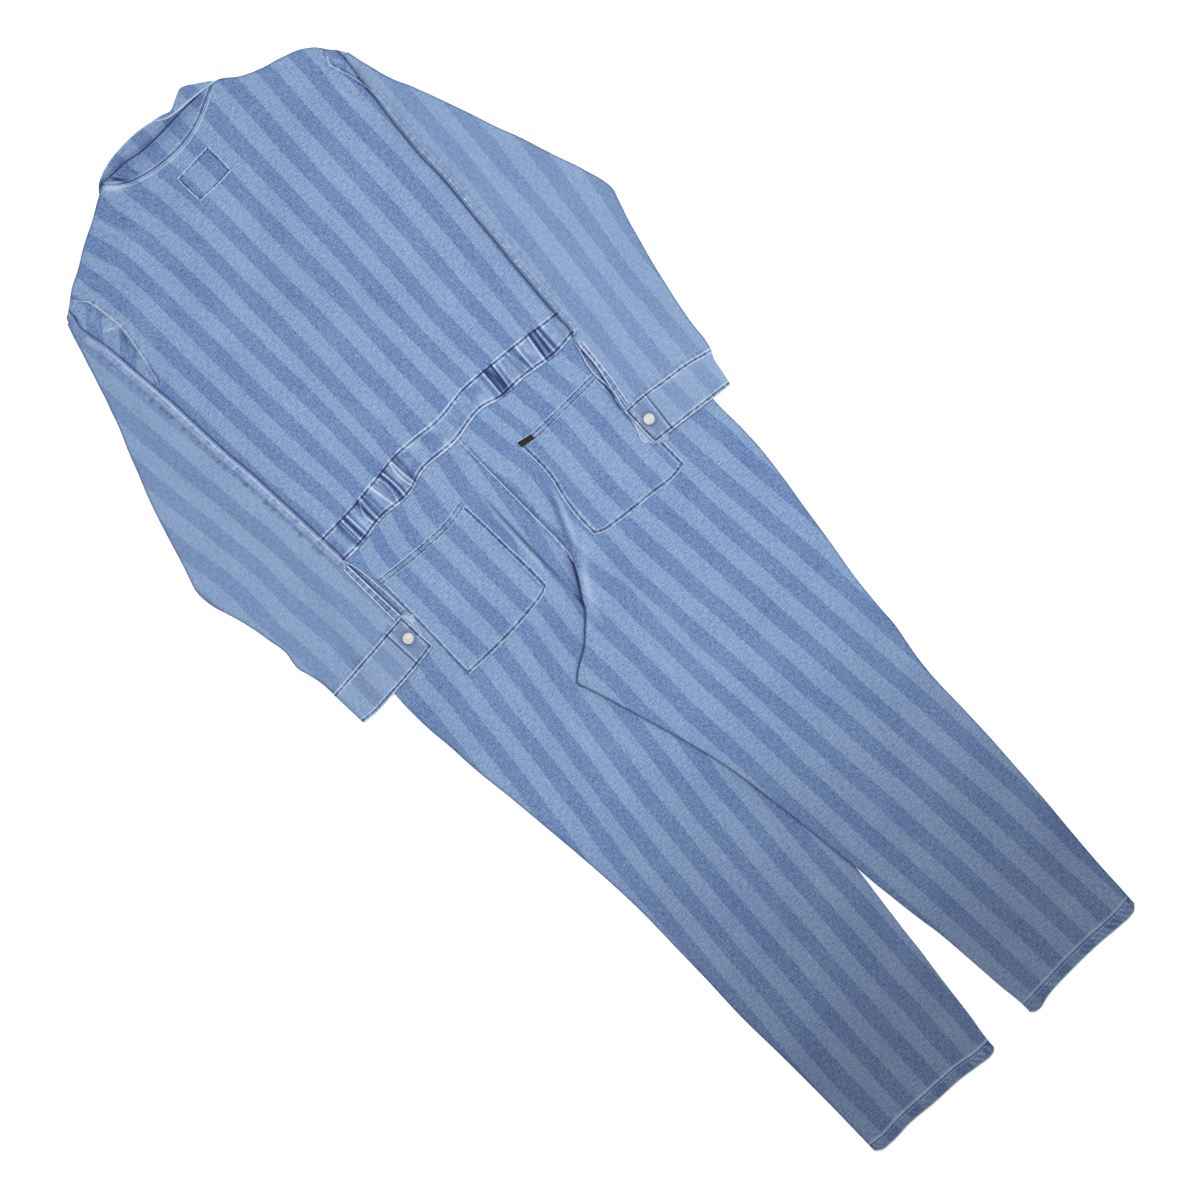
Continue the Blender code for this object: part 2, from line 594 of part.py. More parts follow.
def build_bodice():
    """Back in one piece with the sleeve heads beside it; the fronts under it lie on the surface."""
    left, right = side_curves(ARMHOLES)
    shoulder = cross_curve(SHOULDER_LINE)
    waist = moved(cross_curve(BAND_TOP), SEAM_GAP)
    x, y = panel_points((left, right), shoulder, waist, fractions(BODICE_COLUMNS),
                        fractions(BODICE_ROWS))
    back = cloth_wall("bodice_back", x, y, body_back_height(x, y), denim_body)

    body_left, body_right = side_curves(BODY_SIDES)
    seam_rows = slice(0, len(ARMHOLE_ROWS))
    heads = {"left": (0, body_left, -SEAM_GAP), "right": (-1, body_right, SEAM_GAP)}
    for side, (column, body_edge, gap) in heads.items():
        seam_y = y[seam_rows, column][:, None]
        seam_x = x[seam_rows, column][:, None] + gap
        outer_x = body_edge(seam_y)
        across = even(2)[None, :]
        head_x = outer_x + (seam_x - outer_x) * across
        if side == "right":
            head_x = head_x[:, ::-1]
        head_y = seam_y + 0 * head_x
        head_y[0] = shoulder(head_x[0])
        cloth_wall(f"sleeve_{side}_head", head_x, head_y, body_back_height(head_x, head_y), denim_sleeve)

    neck = moved(cross_curve(FRONT_NECK), -2 * FRONT_GAP)
    front_waist = level(FRONT_WAIST[0] + FRONT_GAP)

    def front_top(x):
        return np.minimum(neck(x), shoulder(x) - SHEET_INSET)

    band = FRONT_BAND_HALF
    fronts = {
        "left": (moved(left, SHEET_INSET), level(-band - SEAM_GAP)),
        "right": (level(band + SEAM_GAP), moved(right, -SHEET_INSET)),
    }
    for side, edges in fronts.items():
        x, y = panel_points(edges, front_top, front_waist, even(8), even(12))
        cloth_wall(f"bodice_front_{side}", x, y, 0, denim_body)
    x, y = panel_points((level(-band), level(band)), neck, front_waist, even(2), even(4))
    cloth_wall("bodice_front_band", x, y, 0, denim_body)
    return back


def build_neck_patch(back):
    sides = side_curves(NECK_PATCH_SIDES)
    top = cross_curve(NECK_PATCH_TOP)
    bottom = cross_curve(NECK_PATCH_BOTTOM)
    sewn_on("neck_patch", [back], sides, top, bottom, 4, 4, denim_seam)


def collar_points(top, bottom, columns, rows):
    """Grid between two cross edges, as wide as the table of the upper one."""
    edges = (level(top[0].x), level(top[-1].x))
    return panel_points(edges, cross_curve(top), cross_curve(bottom), even(columns), even(rows))


def build_collar():
    """Shirt collar turned up: the back half stands over the neck seam, the front half lies behind it."""
    x, y = collar_points(COLLAR_BACK_TOP, COLLAR_BACK_BOTTOM, 16, 3)
    over_neck_seam = BODY_TOP + LAID_GAP + folds_height(x, y, BODY_FOLDS)
    cloth_wall("collar_back", x, y, over_neck_seam, denim_body)

    x, y = collar_points(COLLAR_FRONT_TOP, FRONT_NECK, 16, 4)
    cloth_wall("collar_front", x, y, 0, denim_body)

    x, y = collar_points(COLLAR_POINT_TOP, COLLAR_POINT_BOTTOM, 12, 2)
    cloth_wall("collar_point", x, y, CLOTH + EDGE_GAP, denim_body)


def gather_columns(left, right, seam_points):
    """Places across the back waistband, and how high the cloth stands there (0 groove, 1 ridge).

    The points of the panels that it is sewn to are among them, so that the seams stay even.
    """
    places = [left]
    rises = [PLAIN_RISE]
    for grooves in (LEFT_GATHERS, RIGHT_GATHERS):
        places.append(grooves[0] - GATHER_MARGIN)
        rises.append(PLAIN_RISE)
        for groove, following in zip(grooves, grooves[1:]):
            places += [groove, (groove + following) / 2]
            rises += [0.0, 1.0]
        places += [grooves[-1], grooves[-1] + GATHER_MARGIN]
        rises += [0.0, PLAIN_RISE]
    places.append(right)
    rises.append(PLAIN_RISE)
    every = np.unique(np.concatenate([places, seam_points]))
    return every, np.interp(every, places, rises)


def build_waistband(bodice, trousers):
    """Back gathered over elastic at two stretches; plain fronts under it."""
    top = moved(end_edge(-1, bodice), -SEAM_GAP)
    bottom = moved(end_edge(0, *trousers), SEAM_GAP)
    left, right = side_curves(BODY_SIDES)
    middle = sum(FRONT_WAIST) / 2
    first = float(left(middle))
    last = float(right(middle))
    neighbours = [bodice.x[-1], trousers[0].x[0], trousers[1].x[0]]
    seam_points = np.clip(np.concatenate(neighbours), first, last)
    places, rises = gather_columns(first, last, seam_points)
    across = places[None, :]
    along = np.array([0, STITCHED_SHARE, 1 - STITCHED_SHARE, 1])[:, None]
    stitched = np.array([STITCHED_RISE, 1, 1, STITCHED_RISE])[:, None]
    y = top(across) + (bottom(across) - top(across)) * along
    x = across + 0 * y
    under = body_back_height(x, y)
    upper = under + CLOTH + GATHER_RISE * rises[None, :] * stitched
    raised_wall("waistband_back", x, y, under, upper, denim_body)

    front_top, front_bottom = (level(y) for y in FRONT_WAIST)
    halves = {
        "left": (first + SHEET_INSET, -SEAM_GAP / 2),
        "right": (SEAM_GAP / 2, last - SHEET_INSET),
    }
    for side, (start, end) in halves.items():
        x, y = panel_points((level(start), level(end)), front_top, front_bottom, even(8), even(1))
        cloth_wall(f"waistband_front_{side}", x, y, 0, denim_body)


def build_trousers():
    """Two backs, the right one over the left from the seat to the gap, and the hidden fronts."""
    waist = moved(cross_curve(BAND_BOTTOM), -SEAM_GAP)
    left_hem = cross_curve(LEFT_HEM_SEAM)
    right_hem = cross_curve(RIGHT_HEM_SEAM)
    rows = fractions(SEAT_ROWS + LEG_ROWS)
    left_sides = side_curves(LEFT_LEG)
    right_sides = side_curves(RIGHT_LEG)
    x, y = panel_points(left_sides, waist, left_hem, with_rolls(12), rows)
    left_back = cloth_wall("trouser_back_left", x, y, left_leg_height(x, y), denim_body)
    x, y = panel_points(right_sides, waist, right_hem, with_rolls(12), rows)
    right_back = cloth_wall("trouser_back_right", x, y, right_leg_height(x, y), denim_body)

    fly = FRONT_BAND_HALF
    front_waist = level(FRONT_WAIST[1] - FRONT_GAP)
    front_hem = level(FRONT_HEM + FRONT_GAP)
    left_inner = inner_curve(LEFT_FRONT_INNER)
    outer_left = moved(left_sides[0], SHEET_INSET)
    outer_right = moved(right_sides[1], -SHEET_INSET)
    right_inner = inner_curve(RIGHT_FRONT_INNER)
    front_rows = fractions(FRONT_SEAT_ROWS + FRONT_LEG_ROWS)
    x, y = panel_points((outer_left, left_inner), front_waist, front_hem, even(4), front_rows)
    cloth_wall("trouser_front_left", x, y, 0, denim_body)
    right_edges = (moved(right_inner, SEAM_GAP), outer_right)
    x, y = panel_points(right_edges, front_waist, front_hem, even(10), front_rows)
    cloth_wall("trouser_front_right", x, y, right_leg_bed(x, y), denim_body)
    x, y = panel_points((level(-fly), level(fly)), front_waist, level(FLY_END), even(1), even(2))
    cloth_wall("fly_strip", x, y, 0, denim_body)
    return left_back, right_back


def build_hems(left_back, right_back):
    """The folded hems, in line with the panels they end."""
    panels = {"left": left_back, "right": right_back}
    legs = {
        "left": (side_curves(LEFT_LEG), LEFT_HEM_END, left_leg_height),
        "right": (side_curves(RIGHT_LEG), RIGHT_HEM_END, right_leg_height),
    }
    for side, (edges, end, height) in legs.items():
        hidden_edges = (moved(edges[0], SHEET_INSET), moved(edges[1], -SHEET_INSET))
        hidden_end = moved(cross_curve(end), SHEET_INSET)
        back_seam = moved(end_edge(-1, panels[side]), -SEAM_GAP)
        x, y = panel_points(edges, back_seam, cross_curve(end), with_rolls(12), even(2))
        cloth_wall(f"hem_{side}_back", x, y, height(x, y) + HEM_RISE, denim_seam, DOUBLE_CLOTH)
        x, y = panel_points(hidden_edges, level(FRONT_HEM), hidden_end, even(8), even(1))
        cloth_wall(f"hem_{side}_front", x, y, 0, denim_seam, DOUBLE_CLOTH)


def build_pockets(left_back, right_back):
    """Patch pockets, each with the turned band along its top, and a small bare tab on the right one."""
    pockets = {
        "left": (left_back, LEFT_POCKET_SIDES, LEFT_POCKET_TOP, LEFT_POCKET_BOTTOM),
        "right": (right_back, RIGHT_POCKET_SIDES, RIGHT_POCKET_TOP, RIGHT_POCKET_BOTTOM),
    }
    bands = {}
    for side, (back, sides, top, bottom) in pockets.items():
        edges = side_curves(sides)
        upper = cross_curve(top)
        band_end = moved(upper, -POCKET_BAND)
        body_start = moved(band_end, -SEAM_GAP)
        bands[side] = sewn_on(f"pocket_{side}_band", [back], edges, upper, band_end, 8, 1,
                              denim_seam, DOUBLE_CLOTH)
        sewn_on(f"pocket_{side}", [back], edges, body_start, cross_curve(bottom), 8, 8, denim_body)
    tab_edges = side_curves(TAB_SIDES)
    sewn_on("pocket_tab", [bands["right"]], tab_edges, cross_curve(TAB_TOP), cross_curve(TAB_BOTTOM),
            3, 1, tab_black)


def build_sleeve(side, sides_table, end_table, placket, underleaf):
    """Upper and under layer, felled seam, slit placket, and the leaf that shows under the slit."""
    edges = side_curves(sides_table)
    end = moved(cross_curve(end_table), SEAM_GAP)
    x, y = panel_points(edges, level(sides_table[0].y), end, with_rolls(9), fractions(SLEEVE_ROWS))
    upper = cloth_wall(f"sleeve_{side}_upper", x, y, sleeve_height(x, y, edges), denim_sleeve)

    hidden = (moved(edges[0], UNDER_INSET), moved(edges[1], -UNDER_INSET))
    x, y = panel_points(hidden, level(UNDER_START), moved(end, SEAM_GAP), even(8), even(14))
    cloth_wall(f"sleeve_{side}_under", x, y, sleeve_bed(x, y), denim_sleeve)

    inner = edges[1] if side == "left" else edges[0]
    toward_outer = -1 if side == "left" else 1
    inner_seam = moved(inner, FELLED_INSET * toward_outer)
    outer_seam = moved(inner, (FELLED_INSET + FELLED_SEAM) * toward_outer)
    seam_edges = (outer_seam, inner_seam) if side == "left" else (inner_seam, outer_seam)
    start, stop = FELLED_REACH
    sewn_on(f"sleeve_{side}_seam", [upper], seam_edges, level(start), level(stop), 2, 24, denim_seam)

    table = side_curves(placket)
    placket_end = moved(end, SHEET_INSET)
    sewn_on(f"sleeve_{side}_placket", [upper], table, level(placket[0].y), placket_end, 2, 7, denim_seam)

    leaf_edges = side_curves(underleaf)
    x, y = panel_points(leaf_edges, level(underleaf[0].y), level(underleaf[-1].y), even(2), even(8))
    cloth_wall(f"sleeve_{side}_underleaf", x, y, sleeve_bed(x, y) + SEAM_GAP, denim_sleeve)
    return upper


def build_cuff(side, sleeve, sides_table, end_table, leaf_table, place):
    """Folded cuff in two layers, its under leaf past the edge, and its button."""
    edges = side_curves(sides_table)
    top = moved(end_edge(-1, sleeve), -SEAM_GAP)
    end = cross_curve(end_table)
    x, y = panel_points(edges, top, end, with_rolls(9), even(3))
    upper = cloth_wall(f"cuff_{side}_upper", x, y, cuff_height(x, y, edges), denim_seam, DOUBLE_CLOTH)
    hidden = (moved(edges[0], UNDER_INSET), moved(edges[1], -UNDER_INSET))
    x, y = panel_points(hidden, top, moved(end, UNDER_INSET), even(8), even(3))
    cloth_wall(f"cuff_{side}_under", x, y, sleeve_bed(x, y), denim_seam, DOUBLE_CLOTH)

    leaf_edges = side_curves(leaf_table)
    rows = fractions([row.y for row in leaf_table])
    x, y = panel_points(leaf_edges, level(leaf_table[0].y), level(leaf_table[-1].y), even(2), rows)
    cloth_wall(f"cuff_{side}_leaf", x, y, sleeve_bed(x, y) + SEAM_GAP, denim_seam)
    build_button(side, place, upper)


def build_button(side, place, cuff):
    """Domed metal shank button, turned from its profile."""
    around = np.linspace(0, 2 * math.pi, BUTTON_SIDES, endpoint=False)
    rim_x = place.x + BUTTON_RADIUS * np.cos(around)
    rim_y = place.y + BUTTON_RADIUS * np.sin(around)
    seat = float(top_height(rim_x, rim_y, [cuff]).max()) + SEAM_GAP
    mesh = bpy.data.meshes.new(f"cuff_{side}_button")
    points = [(ring.radius * MM, 0, ring.z * MM) for ring in BUTTON_PROFILE]
    mesh.from_pydata(points, [(index, index + 1) for index in range(len(points) - 1)], [])
    obj = add_object(mesh.name, mesh, button_metal)
    screw = obj.modifiers.new("turned", "SCREW")
    screw.steps = BUTTON_SIDES
    screw.render_steps = BUTTON_SIDES
    screw.use_merge_vertices = True
    screw.merge_threshold = 0.00001
    obj.location = (place.x * MM, place.y * MM, seat * MM)


clear_scene()
garment = bpy.data.collections.new("striped_denim_jumpsuit")
bpy.context.scene.collection.children.link(garment)

denim_body = new_material("denim_body", (0.21, 0.31, 0.52), 0.85)
denim_sleeve = new_material("denim_sleeve", (0.24, 0.34, 0.53), 0.85)
denim_seam = new_material("denim_seam", (0.30, 0.39, 0.56), 0.85)
tab_black = new_material("tab_black", (0.02, 0.02, 0.02), 0.7)
button_metal = new_material("button_metal", (0.72, 0.70, 0.62), 0.35, 0.9)

bodice_back = build_bodice()
build_neck_patch(bodice_back)
build_collar()
trouser_backs = build_trousers()
build_waistband(bodice_back, trouser_backs)
build_hems(*trouser_backs)
build_pockets(*trouser_backs)
left_sleeve = build_sleeve("left", LEFT_SLEEVE, LEFT_SLEEVE_END, LEFT_PLACKET, LEFT_UNDERLEAF)
right_sleeve = build_sleeve("right", RIGHT_SLEEVE, RIGHT_SLEEVE_END, RIGHT_PLACKET, RIGHT_UNDERLEAF)
build_cuff("left", left_sleeve, LEFT_CUFF_SIDES, LEFT_CUFF_END, LEFT_CUFF_LEAF, LEFT_BUTTON)
build_cuff("right", right_sleeve, RIGHT_CUFF_SIDES, RIGHT_CUFF_END, RIGHT_CUFF_LEAF, RIGHT_BUTTON)
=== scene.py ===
import json
import math
from collections import namedtuple

import bpy
import numpy as np
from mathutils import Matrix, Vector
from mathutils.bvhtree import BVHTree

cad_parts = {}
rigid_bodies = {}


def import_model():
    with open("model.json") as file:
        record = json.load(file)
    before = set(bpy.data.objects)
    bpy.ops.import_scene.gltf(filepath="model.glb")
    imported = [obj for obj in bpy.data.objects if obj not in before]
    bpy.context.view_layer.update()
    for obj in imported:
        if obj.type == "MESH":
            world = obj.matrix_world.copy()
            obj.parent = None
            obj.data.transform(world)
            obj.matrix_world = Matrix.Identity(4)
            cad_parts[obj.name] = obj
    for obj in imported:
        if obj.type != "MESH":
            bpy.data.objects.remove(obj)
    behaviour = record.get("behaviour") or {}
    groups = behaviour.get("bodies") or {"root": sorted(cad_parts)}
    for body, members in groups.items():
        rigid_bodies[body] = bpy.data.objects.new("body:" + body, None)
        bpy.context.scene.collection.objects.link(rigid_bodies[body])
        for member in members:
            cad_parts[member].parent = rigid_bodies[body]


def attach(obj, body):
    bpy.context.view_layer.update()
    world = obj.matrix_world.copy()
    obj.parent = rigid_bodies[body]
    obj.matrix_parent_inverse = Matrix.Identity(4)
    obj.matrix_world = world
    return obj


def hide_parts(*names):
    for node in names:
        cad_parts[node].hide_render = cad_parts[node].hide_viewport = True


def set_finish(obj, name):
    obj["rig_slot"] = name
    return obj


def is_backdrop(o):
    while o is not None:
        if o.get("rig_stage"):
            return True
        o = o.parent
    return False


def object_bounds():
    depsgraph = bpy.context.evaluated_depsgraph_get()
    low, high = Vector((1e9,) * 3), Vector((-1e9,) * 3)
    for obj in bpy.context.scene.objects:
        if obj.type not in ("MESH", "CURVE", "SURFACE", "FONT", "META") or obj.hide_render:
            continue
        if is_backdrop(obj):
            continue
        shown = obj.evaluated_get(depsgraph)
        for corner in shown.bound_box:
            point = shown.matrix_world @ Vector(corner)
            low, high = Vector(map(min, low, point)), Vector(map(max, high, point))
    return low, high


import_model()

cad_low, cad_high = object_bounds()


# ---- Trouser backs -------------------------------------------------------------------------
# Two long panels of washed denim with broad tone-on-tone stripes, sewn together by a felled seam
# down the seat. The right leg lies over the left one from the crotch to where the legs part.
# Sizes are in millimetres: x to the wearer's right, y from the hems to the neck, z up.

MM = 0.001
STRIPE = 38.6           # one dark and one light stripe
CLOTH = 1.0
EDGE_GAP = 0.5          # between two layers of a tube along its side folds
PUFF = 1.2              # and this much more in its middle
ROLL = 12.0             # width over which a side fold rounds off
SEAM_GAP = 0.3          # between two pieces along a seam
SEWN_ON = CLOTH + 0.2   # height of a piece sewn on top of another
NO_WEAR = 60.0          # added to the distance from a seam where it shows no wear
LEG_LIFT = 4.1          # the right leg over the left one
FAR = 99.0              # distance that stands for no edge near
NARROWEST = 0.0102      # metres: laid takes a sheet's width as no narrower than this
SMALLEST_SHARE = 0.31   # and its area as no smaller than this share of its width and length

Crease = namedtuple("Crease", "x0 y0 x1 y1 bend width height")
Stripes = namedtuple("Stripes", "y first edges")     # edges in x, numbered in halves from the first


def curve(rows):
    """A smooth line through (place, value) rows, as a function of the place."""
    table = np.array(sorted(rows), float)
    keys, values = table.T
    slopes = np.gradient(values, keys)

    def at(key):
        key = np.clip(key, keys[0], keys[-1])
        row = np.clip(np.searchsorted(keys, key) - 1, 0, len(keys) - 2)
        span = keys[row + 1] - keys[row]
        t = (key - keys[row]) / span
        start = values[row] * (1 + 2 * t) + slopes[row] * span * t
        end = values[row + 1] * (3 - 2 * t) - slopes[row + 1] * span * (1 - t)
        return start * (1 - t) ** 2 + end * t ** 2

    return at


def level(place):
    return lambda key: place + 0 * key


def moved(line, distance):
    return lambda key: line(key) + distance


def fit(length, step, fine=0.0, edge=9.0):
    """Fractions along a length, about a step apart and closer in the edges at both ends."""
    if not fine:
        return np.linspace(0, 1, max(2, round(length / step)) + 1)
    start = np.arange(0, edge, fine)
    middle = np.linspace(edge, length - edge, max(2, round((length - 2 * edge) / step)) + 1)
    return np.concatenate([start, middle, length - start[::-1]]) / length


def panel(left, right, top, bottom, across, along):
    """Grid of x and y between two side edges x(y) and two cross edges y(x)."""
    across = across[None, :]
    along = along[:, None]
    y = top(0 * across) + (bottom(0 * across) - top(0 * across)) * along
    for _ in range(24):
        x = left(y) + (right(y) - left(y)) * across
        y = top(x) + (bottom(x) - top(x)) * along
    return x, y


def soft_step(value, start=0.0, end=1.0):
    t = np.clip((value - start) / (end - start), 0, 1)
    return t * t * (3 - 2 * t)


def rolled(x, y, left, right, width=ROLL):
    """0 at a tube's side folds, 1 well inside it."""
    inside = np.maximum(np.minimum(x - left(y), right(y) - x), 0)
    return np.sqrt(1 - np.clip(1 - inside / width, 0, 1) ** 2)


def creased(x, y, creases):
    """Soft ridges and troughs, each along a bent line and fading at its ends."""
    total = 0 * x
    for c in creases:
        dx, dy = c.x1 - c.x0, c.y1 - c.y0
        length = math.hypot(dx, dy)
        t = ((x - c.x0) * dx + (y - c.y0) * dy) / length ** 2
        off = ((x - c.x0) * dy - (y - c.y0) * dx) / length
        off = off - c.bend * np.sin(math.pi * np.clip(t, 0, 1))
        taper = np.sin(math.pi * np.clip(t, 0, 1)) ** 0.8
        side = np.where(off > 0, 1.0, 1.6)
        total = total + c.height * taper * np.exp(-(off * side / c.width) ** 2)
    return total


def uneven(x, y, seed, size, height):
    """Gentle unevenness of loose cloth: a few crossing waves about a size long."""
    rng = np.random.default_rng(seed)
    total = 0 * x
    for _ in range(14):
        angle = rng.uniform(0, math.pi)
        wave = size * rng.uniform(0.6, 1.8)
        phase = rng.uniform(0, 2 * math.pi)
        total = total + np.sin((x * math.cos(angle) + y * math.sin(angle)) * 2 * math.pi / wave + phase)
    return total * height / math.sqrt(14)


def stripe_rows(first, rows):
    """The places of the stripes' edges in x on some lines y, the first edge being number first."""
    return [Stripes(y, first, edges) for y, edges in rows.items()]


def striped(x, y, rows):
    """Place across the stripes: a dark stripe runs from each whole number to the half after it."""
    rows = sorted(rows, key=lambda row: row.y)
    at_rows = []
    for row in rows:
        places = row.first + 0.5 * np.arange(len(row.edges))
        edges = [row.edges[0] - STRIPE * 10, *row.edges, row.edges[-1] + STRIPE * 10]
        at_rows.append(np.interp(x, edges, [places[0] - 10, *places, places[-1] + 10]))
    keys = np.array([row.y for row in rows], float)
    index = np.clip(np.searchsorted(keys, y) - 1, 0, len(keys) - 2)
    t = np.clip((y - keys[index]) / (keys[index + 1] - keys[index]), 0, 1)
    stack = np.array(at_rows)
    lower = np.take_along_axis(stack, index[None], 0)[0]
    upper = np.take_along_axis(stack, index[None] + 1, 0)[0]
    return lower + (upper - lower) * t


def mesh_object(name, points, faces, material):
    """A smooth mesh from points in millimetres."""
    mesh = bpy.data.meshes.new(name)
    mesh.from_pydata((np.array(points) * MM).tolist(), [], faces)
    mesh.shade_smooth()
    mesh.materials.append(material)
    obj = bpy.data.objects.new(name, mesh)
    bpy.context.scene.collection.objects.link(obj)
    return obj


def cloth(name, x, y, z, stripes, nodes, material, slot="denim_body", thickness=CLOTH,
          rests_on=None, with_pieces=(), seam=FAR, run=0.0, shade=0.0, gap=FAR):
    """A sheet of cloth over a grid. Its UV map follows the weave, from a table of stripes or from the
    place across them. In millimetres, seam is the distance to the nearest sewn edge, run the place
    along it, and gap the distance past an edge lying over this cloth, from which the shader paints
    that edge's shadow; shade is painted shade, 1 in deep folds and shadowed lines, and below 0 it
    marks worn lines and paints a highlight on lit ridges. With rests_on, naming what the sheet lies
    on, laid works out its width, length and area, which are not used further."""
    stripe = striped(x, y, stripes) if isinstance(stripes, list) else stripes
    rows, columns = x.shape
    points = np.stack([x, y, z + 0 * x], axis=-1).reshape(-1, 3)
    corner = (np.arange(rows - 1)[:, None] * columns + np.arange(columns - 1)[None, :]).ravel()
    faces = np.stack([corner, corner + columns, corner + columns + 1, corner + 1], axis=1)
    obj = mesh_object(name, points, faces.tolist(), material)
    weave = obj.data.uv_layers.new(name="weave")
    uv = np.stack([stripe * STRIPE, y + 0 * x], axis=-1).reshape(-1, 2) * MM
    weave.data.foreach_set("uv", uv[faces.ravel()].ravel())
    for title, values in (("seam", seam), ("run", run), ("shade", shade), ("gap", gap)):
        layer = obj.data.attributes.new(title, "FLOAT", "POINT")
        layer.data.foreach_set("value", (values + 0 * x).ravel().astype(np.float32))
    wall = obj.modifiers.new("wall", "SOLIDIFY")
    wall.thickness = thickness * MM
    wall.offset = 1
    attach(obj, "root")
    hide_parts(*nodes)
    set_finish(obj, slot)
    if rests_on:
        laid(x, y)
    return obj


def laid(x, y):
    width = max((x.max() - x.min()) * MM, NARROWEST)
    length = (y.max() - y.min()) * MM
    corners = np.stack([x, y], axis=-1) * MM
    falling, rising = corners[1:, 1:] - corners[:-1, :-1], corners[:-1, 1:] - corners[1:, :-1]
    area = abs(float((falling[..., 0] * rising[..., 1] - falling[..., 1] * rising[..., 0]).sum())) / 2
    area = min(max(area, SMALLEST_SHARE * width * length), width * length)


def to_edges(x, y, sides=(), crosses=()):
    """Distance to the nearest of some side lines x(y) and cross lines y(x), and the place along it."""
    near = FAR + 0 * x
    run = 0 * x
    for side in sides:
        off = abs(x - side(y))
        run = np.where(off < near, y, run)
        near = np.minimum(near, off)
    for cross in crosses:
        off = abs(y - cross(x))
        run = np.where(off < near, x + 1000, run)
        near = np.minimum(near, off)
    return near, run


def stroke(across, width, strength):
    """A soft line, strongest where across is 0."""
    return strength * np.exp(-(across / width) ** 2)


class Socket:
    """A shader output that Python's own arithmetic works on."""

    def __init__(self, look, socket):
        self.look = look
        self.socket = socket

    def _maths(self, operation, *values):
        return self.look.node("ShaderNodeMath", {"operation": operation}, dict(enumerate(values)))

    def __add__(self, other):
        return self._maths("ADD", self, other)

    def __sub__(self, other):
        return self._maths("SUBTRACT", self, other)

    def __rsub__(self, other):
        return self._maths("SUBTRACT", other, self)

    def __mul__(self, other):
        return self._maths("MULTIPLY", self, other)

    def __truediv__(self, other):
        return self._maths("DIVIDE", self, other)

    def __neg__(self):
        return self._maths("MULTIPLY", self, -1.0)

    __radd__ = __add__
    __rmul__ = __mul__

    def sin(self):
        return self._maths("SINE", self)

    def exp(self):
        return self._maths("EXPONENT", self)

    def at_least(self, least):
        return self._maths("MAXIMUM", self, least)

    def above(self, limit):
        """1 where the value is greater than the limit, 0 elsewhere."""
        return self._maths("GREATER_THAN", self, limit)

    def clamp(self):
        return self.look.node("ShaderNodeClamp", {}, {"Value": self})

    def bell(self, centre, width):
        """1 where the value is the centre, falling to 0 a few widths away."""
        off = (self - centre) / width
        return (-(off * off)).exp()


class Look:
    """A material under construction."""

    def __init__(self, name):
        self.material = bpy.data.materials.new(name)
        self.material.use_nodes = True
        self.tree = self.material.node_tree
        self.shader = self.tree.nodes["Principled BSDF"]

    def node(self, kind, settings, inputs, output=0):
        made = self.tree.nodes.new(kind)
        for key, value in settings.items():
            setattr(made, key, value)
        for key, value in inputs.items():
            self.plug(made.inputs[key], value)
        return Socket(self, made.outputs[output])

    def plug(self, socket, value):
        if isinstance(value, Socket):
            self.tree.links.new(value.socket, socket)
        else:
            socket.default_value = value

    def mix(self, share, first, second):
        """Mix of two colours."""
        return self.node("ShaderNodeMix", {"data_type": "RGBA"}, {0: share, 6: first, 7: second}, 2)

    def noise(self, at, scale, detail=2.0, roughness=0.5):
        return self.node("ShaderNodeTexNoise", {}, {
            "Vector": at, "Scale": scale, "Detail": detail, "Roughness": roughness})

    def on_object(self):
        return self.node("ShaderNodeTexCoord", {}, {}, "Object")

    def stretched(self, vector, across, along):
        """Texture coordinates scaled across and along the cloth, in repeats a metre."""
        return self.node("ShaderNodeMapping", {}, {"Vector": vector, "Scale": (across, along, 1.0)})

    def bump(self, height, strength, distance):
        return self.node("ShaderNodeBump", {}, {
            "Strength": strength, "Distance": distance, "Height": height}, "Normal")

    def finish(self, **values):
        for key, value in values.items():
            self.plug(self.shader.inputs[key.replace("_", " ")], value)
        return self.material


def rgb(red, green, blue):
    """A colour given as it looks on a screen, 0 to 255."""
    def linear(value):
        value = value / 255
        return value / 12.92 if value <= 0.04045 else ((value + 0.055) / 1.055) ** 2.4
    return (linear(red), linear(green), linear(blue), 1.0)


def spread(colour, other):
    """A colour taken further away from the other one, to be mixed back by the weave's noise."""
    return tuple(max(a + (a - b) * 1.17, 0.0) for a, b in zip(colour[:3], other[:3])) + (1.0,)


# darker toward the hems: partly a deeper wash, partly painted fall-off of the light
def hem_washed_and_shaded(colour):
    return tuple(part * share for part, share in zip(colour, HEM_WASH_AND_SHADE))


